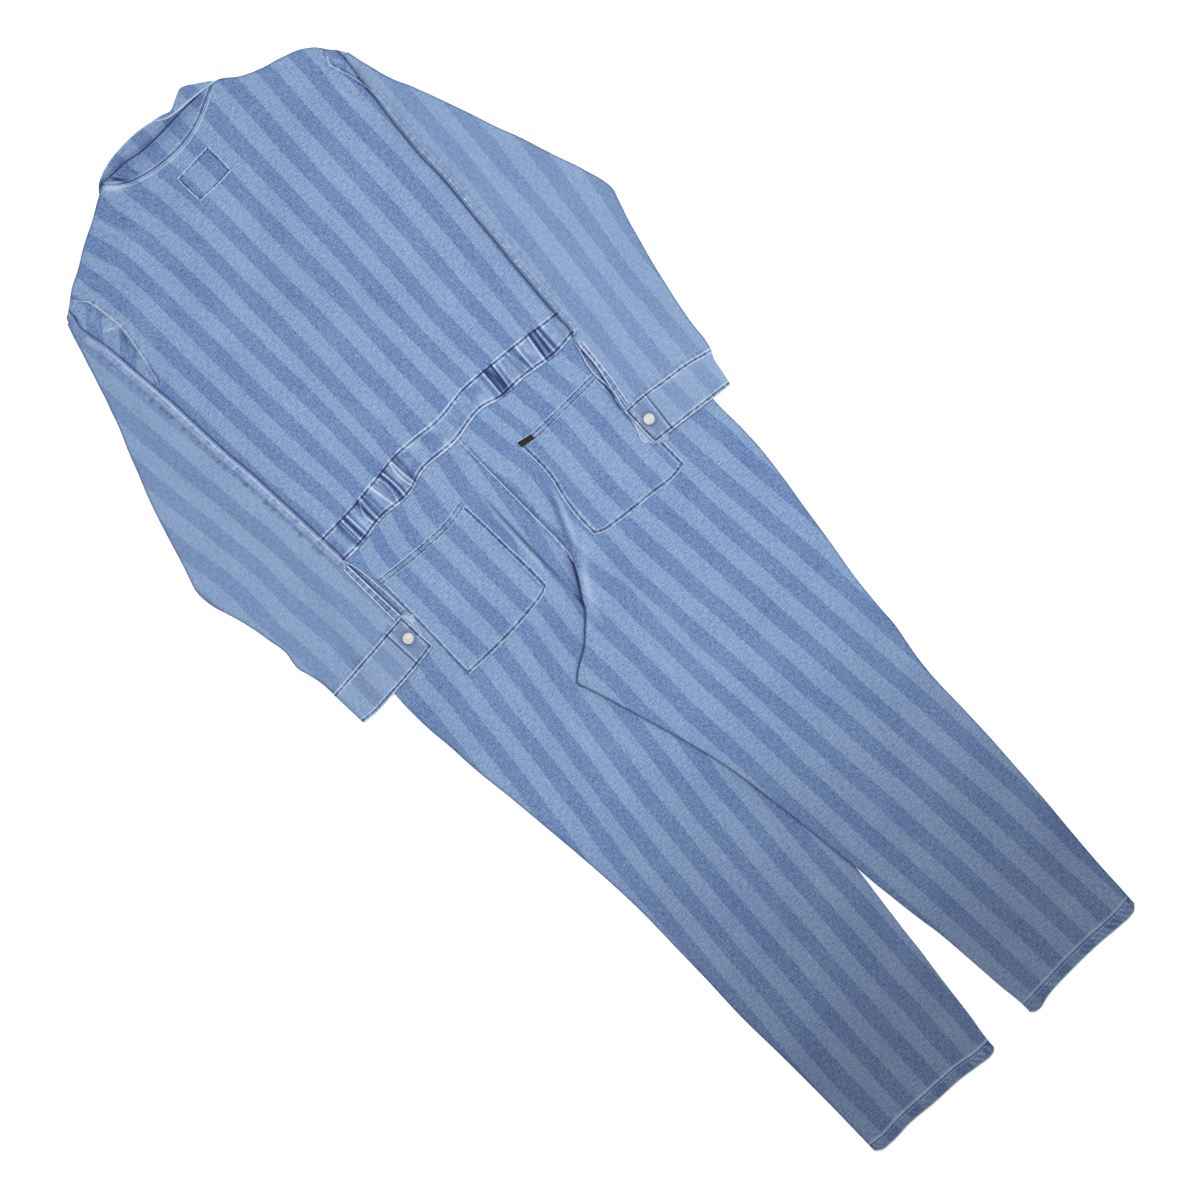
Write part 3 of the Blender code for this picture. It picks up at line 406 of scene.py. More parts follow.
def denim(name, light, dark, seams):
    """Washed stretch denim: soft-edged stripes, crosswise slubs, grain, and along the sewn edges
    lines at (distance, width, strength), worn pale where the strength is positive and deep where
    it is negative, the deep ones unfaded dye with painted shade in their grooves. The shade and gap
    attributes add painted shade, shadow and highlight."""
    look = Look(name)
    uv = look.node("ShaderNodeUVMap", {"uv_map": "weave"}, {})
    place, along = (look.node("ShaderNodeSeparateXYZ", {}, {"Vector": uv}, axis) for axis in (0, 1))
    seam, run, shade, gap = (look.node("ShaderNodeAttribute", {"attribute_name": title}, {}, "Fac")
                             for title in ("seam", "run", "shade", "gap"))

    # the weave: slubs across, warp threads along, grain and uneven wash
    slubs = look.noise(look.stretched(uv, 150.0, 540.0), 1.0, 2.0, 0.6) - 0.5
    warps = look.noise(look.stretched(uv, 540.0, 150.0), 1.0, 2.0, 0.6) - 0.5
    grain = look.noise(uv, 560.0, 1.0, 0.5) - 0.5
    wash = look.noise(uv, 14.0, 3.0, 0.5) - 0.5

    # the stripes, and the colour growing deeper toward the hems, partly in the wash and partly as
    # painted fall-off of the light
    wobble = look.noise(uv, 420.0, 2.0, 0.6) - 0.5
    wave = (place * (2 * math.pi / (STRIPE * MM))).sin()
    is_dark = (wave * 5.0 + wobble * 1.8 + 0.5).clamp()
    tone = is_dark * 0.3 + 0.35 + slubs * (1.25 - is_dark * 0.5) + warps * (0.45 + is_dark * 0.4)
    tone = tone + grain * 1.2 + wash * 0.35
    palest, deepest = spread(light, dark), spread(dark, light)
    toward_hem = ((along + 0.2) * -2.3).clamp()
    lights = look.mix(toward_hem, palest, hem_washed_and_shaded(palest))
    darks = look.mix(toward_hem, deepest, hem_washed_and_shaded(deepest))
    base = look.mix(tone.clamp(), lights, darks)

    # puckered pale and deep lines along the seams, the puckers worn where they rise and painted with
    # light and shade; the painted shadow of an edge lying over the cloth, and a painted highlight
    # line beside that edge
    beside = look.node("ShaderNodeCombineXYZ", {}, {"X": run * 0.22, "Y": seam * 0.12, "Z": 0.0})
    pucker = look.noise(beside, 1.0, 2.0, 0.6) - 0.5
    fray = look.noise(uv, 700.0, 2.0, 0.6) - 0.5
    pale = sum(seam.bell(at, width) * (pucker * 2.6 * strength + strength)
               for at, width, strength in seams if strength > 0)
    deep = sum(seam.bell(at, width) * (pucker * 2.0 * strength - strength)
               for at, width, strength in seams if strength < 0)
    near = seam.bell(3.0, 6.0)
    past_edge = (gap.at_least(0.0) * -0.12).exp() * gap.bell(3.0, 60.0) * gap.above(1.5) * 0.2
    shadow = gap.bell(3.0, 1.5) * 0.72 + past_edge
    # the pale share holds wear and painted highlight, the deep share deep dye, painted shade and shadow
    pale_and_lit_share = (pale + gap.bell(0.6, 0.9) * 0.5 - shade + near * pucker * 0.7) * (fray * 2.4 + 1.0)
    deep_and_shaded_share = (deep + shadow + shade - near * pucker * 0.8) * (fray * 1.2 + 1.0)
    colour = look.mix((pale_and_lit_share * 0.85).clamp(), base, look.mix(toward_hem * 0.6, WORN_AND_LIT, lights))
    colour = look.mix((deep_and_shaded_share * 0.9).clamp(), colour, DEEP_AND_SHADED)

    height = slubs * 0.42 + warps * 0.28 + grain * 0.45 + near * pucker * 1.1
    height = height + pale * 0.5 - deep * 0.6
    return look.finish(Base_Color=colour, Roughness=0.88, Normal=look.bump(height, 1.0, 0.001),
                       Sheen_Weight=0.1, Sheen_Roughness=0.5, Specular_IOR_Level=0.2)


HEM_WASH_AND_SHADE = (0.62, 0.59, 0.59, 1.0)      # the legs are this much deeper at the hems: partly wash, partly painted fall-off of light
# worn pale, also the colour of painted highlights
WORN_AND_LIT = rgb(205, 220, 243)
# deep unfaded blue, also the colour of painted shade and shadow
DEEP_AND_SHADED = rgb(40, 56, 104)
LIGHT_BLUE = rgb(126, 151, 187)
DARK_BLUE = rgb(104, 129, 172)
denim_body = denim("washed_striped_denim", LIGHT_BLUE, DARK_BLUE, ((1.2, 0.9, 0.45), (3.6, 0.9, -0.4)))
denim_seam = denim("worn_seam_denim", LIGHT_BLUE, DARK_BLUE, ((0.3, 0.9, 0.95), (1.9, 0.8, -0.75)))

LEFT_OUTER = curve([
    (222, -222), (150, -240), (100, -254), (55, -263), (20, -264), (-5, -263), (-30, -260.5),
    (-80, -257), (-130, -251), (-180, -246), (-230, -241), (-280, -237), (-330, -234.5),
    (-405, -235), (-455, -235.5), (-505, -237), (-580, -235.3), (-655, -234.5), (-730, -235),
    (-755, -235),
])
LEFT_INNER = curve([
    (222, 5.7), (150, 5.7), (100, 5.7), (55, 5.7), (35, 4), (20, 0.5), (8, 0), (-8, 6), (-20, 12),
    (-60, 22), (-105, 26), (-200, 15), (-300, 5), (-400, -5), (-487, -15), (-505, -17), (-530, -20),
    (-555, -23), (-580, -26), (-605, -28.5), (-630, -32), (-680, -38), (-705, -41), (-730, -45),
    (-755, -47),
])
RIGHT_INNER = curve([
    (222, 6), (55, 6), (35, 4.5), (20, 1), (0, -9), (-20, -22), (-35, -31), (-50, -46), (-65, -63),
    (-80, -88), (-88, -96.5), (-100, -93), (-130, -83), (-190, -65), (-240, -50), (-290, -38),
    (-340, -30), (-380, -25), (-440, -18), (-487, -12.5), (-505, -11), (-530, -8), (-555, -5),
    (-580, -1.5), (-605, 2.5), (-630, 5), (-655, 7), (-680, 9), (-705, 11), (-730, 14), (-755, 15),
])
RIGHT_OUTER = curve([
    (222, 223), (150, 238), (100, 249), (55, 256), (20, 256.5), (-5, 257), (-30, 256.5), (-80, 251.5),
    (-130, 244), (-180, 237), (-230, 229), (-280, 224.5), (-305, 223), (-330, 218.5), (-355, 214.5),
    (-380, 212.3), (-430, 211.3), (-480, 210), (-530, 207.3), (-580, 204.5), (-630, 200.5),
    (-680, 197), (-730, 195), (-755, 193.5),
])
WAIST_BOTTOM = curve([
    (-224, 211), (-160, 212), (-130, 216.5), (-75, 215.5), (-60, 221), (0, 220), (55, 225.5),
    (75, 219.5), (110, 218), (165, 211), (190, 213), (226, 212),
])
LEFT_HEM_SEAM = curve([
    (-235, -730), (-213, -732.5), (-190, -731), (-140, -732.7), (-98, -734.7), (-60, -740), (-46, -740),
])
RIGHT_HEM_SEAM = curve([
    (14, -738.5), (40, -737.5), (95, -735), (130, -735.5), (166, -737), (194, -735),
])
LEFT_STRIPES = stripe_rows(-3, {
    215: (-152, -136, -114, -98, -78, -58, -33, -14, 5, 24),
    190: (-160, -144, -122, -106, -86, -62, -39, -19, 0, 20),
    130: (-168, -150, -130, -113, -92, -70, -45, -28, -10, 10),
    90: (-176, -157, -138, -119, -99, -78, -52, -30, -16, 2),
    40: (-185, -165, -146, -126, -106, -86, -68, -50, -30, -10),
    0: (-187, -168, -148, -128, -108, -88, -72, -55, -32, -18),
    -40: (-192, -174, -152, -134, -114, -95, -78, -60, -40, -20),
    -80: (-196, -178, -158, -140, -120, -100, -82, -62, -43, -24),
    -120: (-200, -181, -164, -146, -125, -106, -88, -68, -48, -29),
    -160: (-206, -186, -170, -150, -132, -112, -92, -73, -54, -35),
    -200: (-210, -190, -175, -156, -137, -117, -96, -78, -58, -39),
    -250: (-219, -198, -181, -162, -144, -124, -103, -84, -66, -46),
    -300: (-224, -204, -188, -168, -148, -128, -110, -91, -72, -54, -34),
    -350: (-228, -210, -192, -172, -153, -134, -114, -96, -75, -58, -38),
    -400: (-232, -214, -195, -177, -157, -138, -118, -100, -80, -62, -42, -25),
    -450: (-236, -219, -200, -181, -161, -142, -122, -104, -83, -64, -46, -28),
    -500: (-240, -222, -202, -184, -164, -145, -125, -106, -86, -67, -49, -30),
    -550: (-244, -226, -207, -188, -168, -149, -128, -110, -90, -70, -52, -33),
    -600: (-250, -231, -212, -191, -172, -152, -132, -112, -93, -74, -55, -36),
    -650: (-254, -234, -215, -193, -174, -155, -134, -115, -94, -74, -56, -37),
    -700: (-252, -234, -214, -194, -176, -156, -136, -116, -98, -77, -58, -40),
    -750: (-252, -234, -216, -196, -178, -158, -138, -119, -100, -80, -60, -42),
})
RIGHT_STRIPES = stripe_rows(-1, {
    215: (-14, 2, 24, 42, 57, 70, 90, 110, 128, 145, 165, 184, 204, 222),
    190: (-12, 4, 26, 44, 60, 73, 92, 112, 130, 146, 167, 186, 206, 225),
    130: (0, 16, 36, 54, 64, 80, 98, 118, 138, 156, 174, 193, 213, 232),
    90: (-8, 10, 30, 50, 66, 84, 102, 122, 142, 160, 178, 197, 217, 236),
    40: (-4, 18, 36, 54, 68, 86, 104, 124, 146, 166, 185, 202, 222, 242),
    0: (1, 17, 34, 52, 68, 87, 108, 128, 150, 170, 185, 204, 226, 246),
}) + stripe_rows(-2, {
    -40: (-36, -16, 5, 27, 32, 49, 70, 90, 112, 131, 152, 170, 187, 207, 228, 246),
}) + stripe_rows(-3, {
    -80: (-76, -57, -36, -16, 4, 27, 34, 52, 73, 92, 114, 133, 153, 173, 191, 210, 231, 250),
    -120: (-74, -56, -34, -16, 6, 24, 38, 54, 75, 94, 116, 135, 156, 176, 194, 213, 235, 254),
    -160: (-76, -58, -35, -15, 6, 24, 36, 57, 78, 98, 118, 138, 158, 178, 198, 217, 237, 256),
    -200: (-74, -55, -36, -16, 7, 24, 41, 60, 80, 100, 120, 140, 161, 180, 200, 220),
    -250: (-71, -52, -33, -13, 10, 28, 44, 62, 83, 103, 124, 143, 164, 182, 204, 222),
}) + stripe_rows(-2, {
    -300: (-29, -10, 11, 31, 46, 66, 87, 105, 128, 146, 166, 186, 206, 224),
    -350: (-27, -10, 12, 29, 50, 68, 90, 110, 130, 148, 170, 190, 210, 228),
    -400: (-24, -7, 14, 32, 52, 72, 93, 112, 133, 152, 174, 194, 213, 232),
    -450: (-20, -6, 16, 34, 56, 76, 98, 116, 136, 156, 177, 196, 216, 235),
    -500: (-20, -2, 18, 38, 58, 78, 100, 120, 139, 158, 180, 198, 218, 237),
    -550: (-17, 2, 22, 41, 62, 82, 102, 122, 142, 162, 183, 201),
    -600: (-14, 5, 25, 44, 64, 84, 104, 124, 144, 164, 184, 203),
    -650: (-12, 7, 27, 46, 66, 86, 106, 126, 146, 165, 184, 203),
    -700: (-10, 9, 30, 48, 68, 88, 108, 127, 148, 168, 187, 206),
    -750: (-9, 11, 32, 50, 69, 87, 109, 128, 150, 170, 189, 208),
})
LEFT_LEG_CREASES = [
    Crease(-150, -120, -170, -420, 12, 30, 1.6), Crease(-95, -260, -80, -560, -10, 24, 1.4),
    Crease(-190, -430, -180, -700, 8, 26, 1.3),
]
RIGHT_LEG_CREASES = [
    Crease(60, 90, -50, -70, -8, 22, 1.6), Crease(60, -110, 90, -390, 10, 30, 1.6),
    Crease(150, -200, 140, -520, -10, 28, 1.5), Crease(70, -470, 90, -700, 8, 26, 1.4),
]


def left_leg_height(x, y):
    whole = PUFF * rolled(x, y, LEFT_OUTER, level(400))
    leg = PUFF * rolled(x, y, LEFT_OUTER, LEFT_INNER)
    below_seat = soft_step(-y, 0, 60)
    return (CLOTH + EDGE_GAP + whole + (leg - whole) * below_seat
            + creased(x, y, LEFT_LEG_CREASES) + uneven(x, y, 3, 90, 0.3))


def leg_bed(x, y):
    """What lifts the right leg where it lies over the left one."""
    beside = 1 - soft_step(x - LEFT_INNER(y), 8, 42)
    return LEG_LIFT * beside * soft_step(-y, -45, 5) * soft_step(y, -575, -500)


def right_leg_height(x, y):
    whole = PUFF * rolled(x, y, level(-400), RIGHT_OUTER)
    leg = PUFF * rolled(x, y, RIGHT_INNER, RIGHT_OUTER)
    below_seat = soft_step(-y, 5, 65)
    return (CLOTH + EDGE_GAP + leg_bed(x, y) + whole + (leg - whole) * below_seat
            + creased(x, y, RIGHT_LEG_CREASES) + uneven(x, y, 4, 90, 0.3))


SEAT_FOLDS = [
    Crease(-21, 165, -25.5, -12, 0.8, 2.8, 1.4), Crease(6, 38, -27, -24, -3, 9, 0.7),
    Crease(39, 106, 4, 22, -2.5, 5.0, 1.0), Crease(46, 106, 14, 26, -3, 4, -0.5),
    Crease(-25, -8, -27, -32, 0, 1.7, 1.9), Crease(-29, 130, -30, 20, 0, 3, -0.45),
    Crease(-36, 150, -30, 60, 0, 5, 0.3), Crease(30, 30, -30, -60, 8, 9, -0.45),
    Crease(11, 66, 6, 40, 0, 3, 0.5), Crease(0.5, 130, 0, 40, 0, 1.6, 0.45),
]
# finer around the crossing of the legs, which has the deepest folds
across = np.concatenate([fit(190, 4.0, 1.2) * 190, 190 + fit(60, 1.5)[1:] * 60]) / 250
along = np.concatenate([fit(90, 3.6, 1.2) * 90, 90 + fit(210, 1.7)[1:] * 210,
                        300 + fit(660, 4.6, 1.2)[1:] * 660]) / 960
x, y = panel(LEFT_OUTER, LEFT_INNER, moved(WAIST_BOTTOM, -SEAM_GAP), LEFT_HEM_SEAM, across, along)
seam, run = to_edges(x, y, [LEFT_INNER])
folds = creased(x, y, SEAT_FOLDS)
crossed = (y < 30) & (y > -489)         # where the right leg lies over this one
slope = (RIGHT_INNER(y + 1) - RIGHT_INNER(y - 1)) / 2
past_leg = (RIGHT_INNER(y) - x) / np.sqrt(1 + slope ** 2) * (0.7 + 0.5 * soft_step(-y, 80, 130))
# the seat's folds are shaped in the height and also painted, as shade in the troughs and highlight on
# the ridges; the outline gets a painted dark rim, and past the right leg's edge the gap paints its
# shadow
cloth("trouser_left", x, y, left_leg_height(x, y) - 0.9 * folds, LEFT_STRIPES,
      ["trouser_back_left"], denim_body, rests_on=["trouser_front_left_panel"],
      seam=seam + NO_WEAR * soft_step(-y, -40, 20), run=run,
      shade=(0.7 * folds - stroke(y - LEFT_HEM_SEAM(x) - 2.8, 1.4, 0.65)
             + stroke(x - LEFT_OUTER(y), 1.8, 0.5)),
      gap=np.where(crossed, past_leg + 2.0 + 1.2 * soft_step(-y, 60, 120), FAR))
x, y = panel(RIGHT_INNER, RIGHT_OUTER, moved(WAIST_BOTTOM, -SEAM_GAP), RIGHT_HEM_SEAM,
             1 - across[::-1], along)
seam, run = to_edges(x, y, [RIGHT_INNER])
folds = creased(x, y, SEAT_FOLDS)
# the seat's folds painted as shade and highlight, as on the left leg, and a painted dark rim along the
# outline
cloth("trouser_right", x, y, right_leg_height(x, y) - 0.9 * folds, RIGHT_STRIPES,
      ["trouser_back_right"], denim_body, rests_on=["trouser_front_right_panel", "trouser_left"],
      seam=seam + 2.2 + NO_WEAR * soft_step(-y, -34, 0), run=run,
      shade=(0.7 * folds - stroke(y - RIGHT_HEM_SEAM(x) - 2.8, 1.4, 0.5)
             + stroke(x - RIGHT_OUTER(y), 1.8, 0.5)))


# ---- Bodice back ---------------------------------------------------------------------------
# One broad panel from the shoulders to the waistband, with the heads of the sleeves sewn into its
# armholes by puckered seams. Soft folds run from the neck toward the left shoulder.

SHOULDER = curve([
    (-235, 650), (-226, 655), (-216, 662), (-211, 666), (-197, 676), (-181, 684), (-155, 700),
    (-124, 716), (-98, 731), (-85, 736.5), (-76, 728), (-67, 720), (-45, 711), (-20, 706),
    (0, 704.7), (20, 705.5), (45, 711), (70, 721.5), (90, 731), (100, 731), (121, 716), (147, 704),
    (175, 696), (202, 684), (213, 674.5), (219, 666), (222, 662), (236, 650),
])
WAIST_TOP = curve([
    (-222, 251), (-193, 252), (-150, 253), (-100, 258), (-65, 262), (-30, 260), (0, 257), (55, 262),
    (80, 260.5), (110, 258), (150, 254), (190, 249), (224, 247),
])
LEFT_SIDE = [
    (664, -216), (656, -227), (648, -231), (620, -230), (560, -229), (500, -233), (440, -236),
    (350, -232), (253, -220), (214, -223),
]
RIGHT_SIDE = [
    (664, 222), (656, 227), (648, 232), (620, 231), (560, 231), (500, 237), (440, 240),
    (350, 236), (253, 222), (214, 224),
]
BODY_LEFT, BODY_RIGHT = curve(LEFT_SIDE), curve(RIGHT_SIDE)
LEFT_ARMHOLE = curve([
    (664, -211), (656, -205), (650, -199), (640, -196), (620, -193), (600, -191.5), (583, -193),
    (567, -196), (540, -202), (515, -209), (490, -222), (470, -236), (440, -236), (350, -232),
    (253, -220),
])
RIGHT_ARMHOLE = curve([
    (664, 219), (656, 213), (650, 210), (640, 213), (620, 219), (600, 223), (583, 224), (567, 225),
    (540, 227), (515, 231), (490, 236), (470, 240), (440, 240), (350, 236), (253, 222),
])
BODY_STRIPES = stripe_rows(-5, {
    740: (-190, -172, -160, -139, -119, -96, -74, -52, -33, -11, 16, 35, 57, 78, 99, 119, 139, 158, 181,
          200),
    705: (-190, -172, -160, -138, -118, -95, -74, -52, -33, -11, 15, 35, 57, 78, 99, 119, 139, 158, 181,
          200),
    680: (-186, -168, -153, -130, -112, -90, -70, -48, -29, -8, 16, 35, 55, 76, 98, 118, 138, 158, 180,
          198),
    650: (-181, -163, -142, -124, -105, -85, -66, -47, -25, -6, 16, 36, 55, 75, 96, 116, 136, 155, 178,
          197),
    600: (-178, -160, -140, -122, -101, -84, -62, -44, -24, -5, 16, 34, 55, 74, 94, 114, 134, 153, 174,
          192),
    550: (-179, -160, -140, -121, -101, -82, -62, -44, -24, -6, 15, 34, 54, 73, 93, 111, 132, 152, 173,
          192),
    500: (-178, -160, -140, -120, -100, -82, -64, -44, -24, -6, 14, 34, 53, 73, 91, 110, 130, 150, 172,
          191),
    450: (-176, -159, -138, -120, -100, -82, -64, -44, -24, -5, 15, 34, 51, 70, 89, 108, 128, 148, 169,
          188),
    400: (-175, -157, -138, -119, -99, -80, -64, -46, -26, -6, 14, 31, 48, 68, 86, 104, 125, 144, 166,
          184),
    350: (-174, -155, -136, -117, -98, -80, -66, -48, -28, -8, 12, 30, 48, 66, 82, 100, 122, 140, 161,
          178),
    300: (-168, -151, -134, -116, -98, -81, -67, -48, -29, -10, 11, 29, 48, 65, 81, 101, 120, 138, 156,
          174),
    265: (-165, -150, -134, -116, -100, -82, -70, -50, -32, -11, 10, 29, 48, 67, 82, 101, 120, 136, 152,
          171),
})
BODY_CREASES = [
    Crease(-60, 705, -175, 600, 6, 20, 1.8), Crease(-95, 690, -150, 560, 6, 18, 1.3),
    Crease(80, 700, 150, 610, -6, 24, 1.3), Crease(-110, 520, -60, 380, 10, 30, 1.1),
    Crease(90, 480, 40, 330, -8, 30, 1.0),
]


def body_height(x, y):
    return (CLOTH + EDGE_GAP + PUFF * rolled(x, y, BODY_LEFT, BODY_RIGHT)
            + creased(x, y, BODY_CREASES) + uneven(x, y, 5, 100, 0.35))


LEFT_SLEEVE_IN = curve([
    (647, -224), (634, -228), (620, -226), (600, -222), (575, -219), (550, -217), (520, -214),
    (500, -212), (460, -210), (400, -207), (360, -203), (320, -201), (303, -200), (285, -199),
    (260, -198), (230, -196.5), (205, -195.7), (180, -194.7), (160, -194), (140, -193), (107, -191.7),
])
RIGHT_SLEEVE_IN = curve([
    (645, 230), (620, 227), (600, 224), (575, 221), (550, 218), (520, 215), (500, 213), (460, 213),
    (400, 208), (360, 205), (320, 201), (303, 200), (280, 198), (240, 195.5), (215, 193), (207, 187.5),
    (195, 186), (170, 184), (150, 180.5), (120, 174), (87, 167),
])
SLEEVES_END = 108


def under_sleeves(x, y):
    """How far a place lies past the sleeves' inner edges, toward the middle."""
    past = np.minimum(x - LEFT_SLEEVE_IN(y), RIGHT_SLEEVE_IN(y) - x)
    return np.where(y > SLEEVES_END, past, FAR)


# fold lines, slits and puckers that are only painted: shade, and highlight where the height is negative
BODY_FOLDS = [
    Crease(-187, 671, -175, 643, 1, 2.6, 0.8), Crease(-172, 674, -163, 658, 0, 3.2, 0.6),
    Crease(-150, 690, -141, 664, 0, 4.0, 0.35), Crease(-192, 640, -188, 600, 0, 3.0, -0.3),
    Crease(213, 654, 219, 622, 1, 2.2, 0.6), Crease(217, 622, 222, 585, 0, 3.0, 0.55),
    Crease(195, 630, 201, 590, 0, 3.0, -0.3), Crease(-182, 340, -190, 318, 2, 2.4, 0.6),
    Crease(-92, 738, -64, 714, 1, 4.2, -1.1), Crease(-66, 722, -40, 700, 2, 3.0, 0.4),
    Crease(-120, 716, -98, 660, 4, 5.0, -0.3), Crease(-100, 712, -84, 664, 4, 6.0, 0.25),
]
x, y = panel(LEFT_ARMHOLE, RIGHT_ARMHOLE, SHOULDER, moved(WAIST_TOP, SEAM_GAP),
             fit(440, 3.0, 1.2, 24.0), fit(460, 3.0, 1.2))
seam, run = to_edges(x, y, [LEFT_ARMHOLE, RIGHT_ARMHOLE])
seam = seam + NO_WEAR * soft_step(-y, -520, -490)
# along the collar's seam a deep line between two worn ones
on_neck = soft_step(x, -78, -66) * soft_step(-x, -88, -76)
below_neck = SHOULDER(x) - y
shade = -on_neck * (stroke(below_neck - 0.8, 0.9, 0.5) + stroke(below_neck - 3.5, 1.1, 0.6)
                    - stroke(below_neck - 2.1, 0.7, 0.5))
# painted shade and highlight of the folds, and a painted dark rim along the shoulders' outline
shade = shade + 0.55 * creased(x, y, BODY_FOLDS) + (1 - on_neck) * stroke(below_neck - 0.5, 1.6, 0.5)
# the gap from the sleeves' inner edges paints their shadow on the bodice
cloth("bodice", x, y, body_height(x, y), BODY_STRIPES, ["bodice_back"], denim_body,
      rests_on=["bodice_front_left_panel", "bodice_front_right_panel"], seam=seam, run=run, shade=shade,
      gap=under_sleeves(x, y))

denim_sleeve = denim("washed_sleeve_denim", rgb(128, 152, 186), rgb(113, 137, 176),
                     ((1.2, 1.0, 0.2), (3.7, 1.2, -0.2)))


def head_stripe(x, y):
    """The sleeve heads are cut on another grain, so their stripes slant across."""
    return (0.66 * y - 0.75 * x) / STRIPE + 0.47


HEAD_END = 484
# seam puckers, slits and folds of the sleeve heads, only painted: shade, and highlight where the height
# is negative
HEAD_FOLDS = [
    Crease(-209, 663, -199, 650, 0, 1.4, 1.3), Crease(-206, 640, -199, 642, 0, 1.6, 0.8),
    Crease(-199, 634, -195, 620, 0, 2.0, 0.7), Crease(-192, 597, -200, 574, 0, 3.2, 1.2),
    Crease(-197, 570, -202, 556, 0, 3.0, 0.9), Crease(-223, 655, -221, 636, 0, 1.6, 0.8),
    Crease(-209, 612, -194, 603, 0, 1.5, -0.8), Crease(-213, 630, -198, 636, 0, 4.0, -0.3),
    Crease(213, 640, 219, 626, 0, 2.0, 0.9), Crease(219, 618, 223, 612, 0, 2.0, 1.1),
    Crease(218, 604, 224, 599, 0, 1.8, 1.0), Crease(216, 610, 216, 596, 0, 1.4, -0.8),
    Crease(221, 610, 221, 540, 0, 3.4, 0.9), Crease(214, 655, 224, 640, 0, 3.0, -0.4),
]
for name, sides, armhole in (
        ("left", (BODY_LEFT, moved(LEFT_ARMHOLE, -SEAM_GAP)), LEFT_ARMHOLE),
        ("right", (moved(RIGHT_ARMHOLE, SEAM_GAP), BODY_RIGHT), RIGHT_ARMHOLE)):
    x, y = panel(*sides, SHOULDER, level(HEAD_END), fit(30, 1.4), fit(170, 1.4))
    seam, run = to_edges(x, y, [armhole])
    # the gap from the sleeves' inner edges paints their shadow here
    cloth(f"{name}_sleeve_head", x, y, body_height(x, y), head_stripe(x, y), [f"sleeve_{name}_head"],
          denim_body, "denim_sleeve", rests_on=[f"bodice_front_{name}_panel"], seam=seam + 2.6, run=run,
          shade=0.6 * creased(x, y, HEAD_FOLDS), gap=under_sleeves(x, y))


# ---- Hidden fronts -------------------------------------------------------------------------
# The fronts of bodice, waistband and legs lie face down on the surface and are seen only at the
# edges: plain panels of the same striped denim, with a button band and a fly strip between them.

LEFT_FRONT_INNER = curve([
    (222, -15.3), (45, -15.3), (20, -9), (0, -3), (-20, 8), (-60, 18), (-105, 22), (-200, 11),
    (-300, 1), (-400, -9), (-487, -18), (-540, -24), (-600, -32), (-700, -45), (-753, -51),
])
RIGHT_FRONT_INNER = curve([
    (222, 15.3), (45, 15.3), (25, 13), (5, 9), (-10, -4), (-27, -20), (-50, -42), (-78, -74),
    (-89, -90), (-105, -87), (-130, -79), (-190, -61), (-290, -34), (-380, -21), (-487, -9),
    (-540, -4), (-600, 4), (-700, 14), (-753, 18),
])
FRONT_NECK = curve([(-100, 728.6), (-60, 700.6), (0, 688.6), (60, 700.6), (100, 728.6)])
FRONT_WAIST_TOP = 246
FRONT_WAIST_BOTTOM = 209
FRONT_HEM = -734
FRONT_GAP = 0.7         # between two hidden pieces along a seam


def front_top(x):
    return np.minimum(FRONT_NECK(x), SHOULDER(x) - 1)


BODICE_END = level(FRONT_WAIST_TOP + FRONT_GAP)
BAND = level(FRONT_WAIST_TOP), level(FRONT_WAIST_BOTTOM)
LEGS = level(FRONT_WAIST_BOTTOM - FRONT_GAP), level(FRONT_HEM + FRONT_GAP)
for name, left, right, top, bottom, stripes in (
        ("bodice_front_left", moved(LEFT_ARMHOLE, 1), level(-15.3), front_top, BODICE_END,
         BODY_STRIPES),
        ("bodice_front_right", level(15.3), moved(RIGHT_ARMHOLE, -1), front_top, BODICE_END,
         BODY_STRIPES),
        ("bodice_front_band", level(-15), level(15), FRONT_NECK, BODICE_END, BODY_STRIPES),
        ("waistband_front_left", moved(BODY_LEFT, 1.6), level(-0.15), *BAND, BODY_STRIPES),
        ("waistband_front_right", level(0.15), moved(BODY_RIGHT, -1.6), *BAND, BODY_STRIPES),
        ("trouser_front_left", moved(LEFT_OUTER, 1), LEFT_FRONT_INNER, *LEGS, LEFT_STRIPES),
        ("trouser_front_right", RIGHT_FRONT_INNER, moved(RIGHT_OUTER, -1), *LEGS, RIGHT_STRIPES),
        ("fly_strip", level(-15), level(15), LEGS[0], level(60), RIGHT_STRIPES)):
    x, y = panel(left, right, top, bottom, fit(abs(right(0.0) - left(0.0)) + 30, 9.0), fit(500, 9.0))
    bed = leg_bed(x, y) if name == "trouser_front_right" else 0.0
    cloth(f"{name}_panel", x, y, bed, stripes, [name], denim_body, rests_on=["floor"])


# ---- Waistband -----------------------------------------------------------------------------
# A folded band of the same denim between bodice and trousers, stitched along both edges. Elastic
# inside it gathers two stretches of the back into narrow uneven pleats.

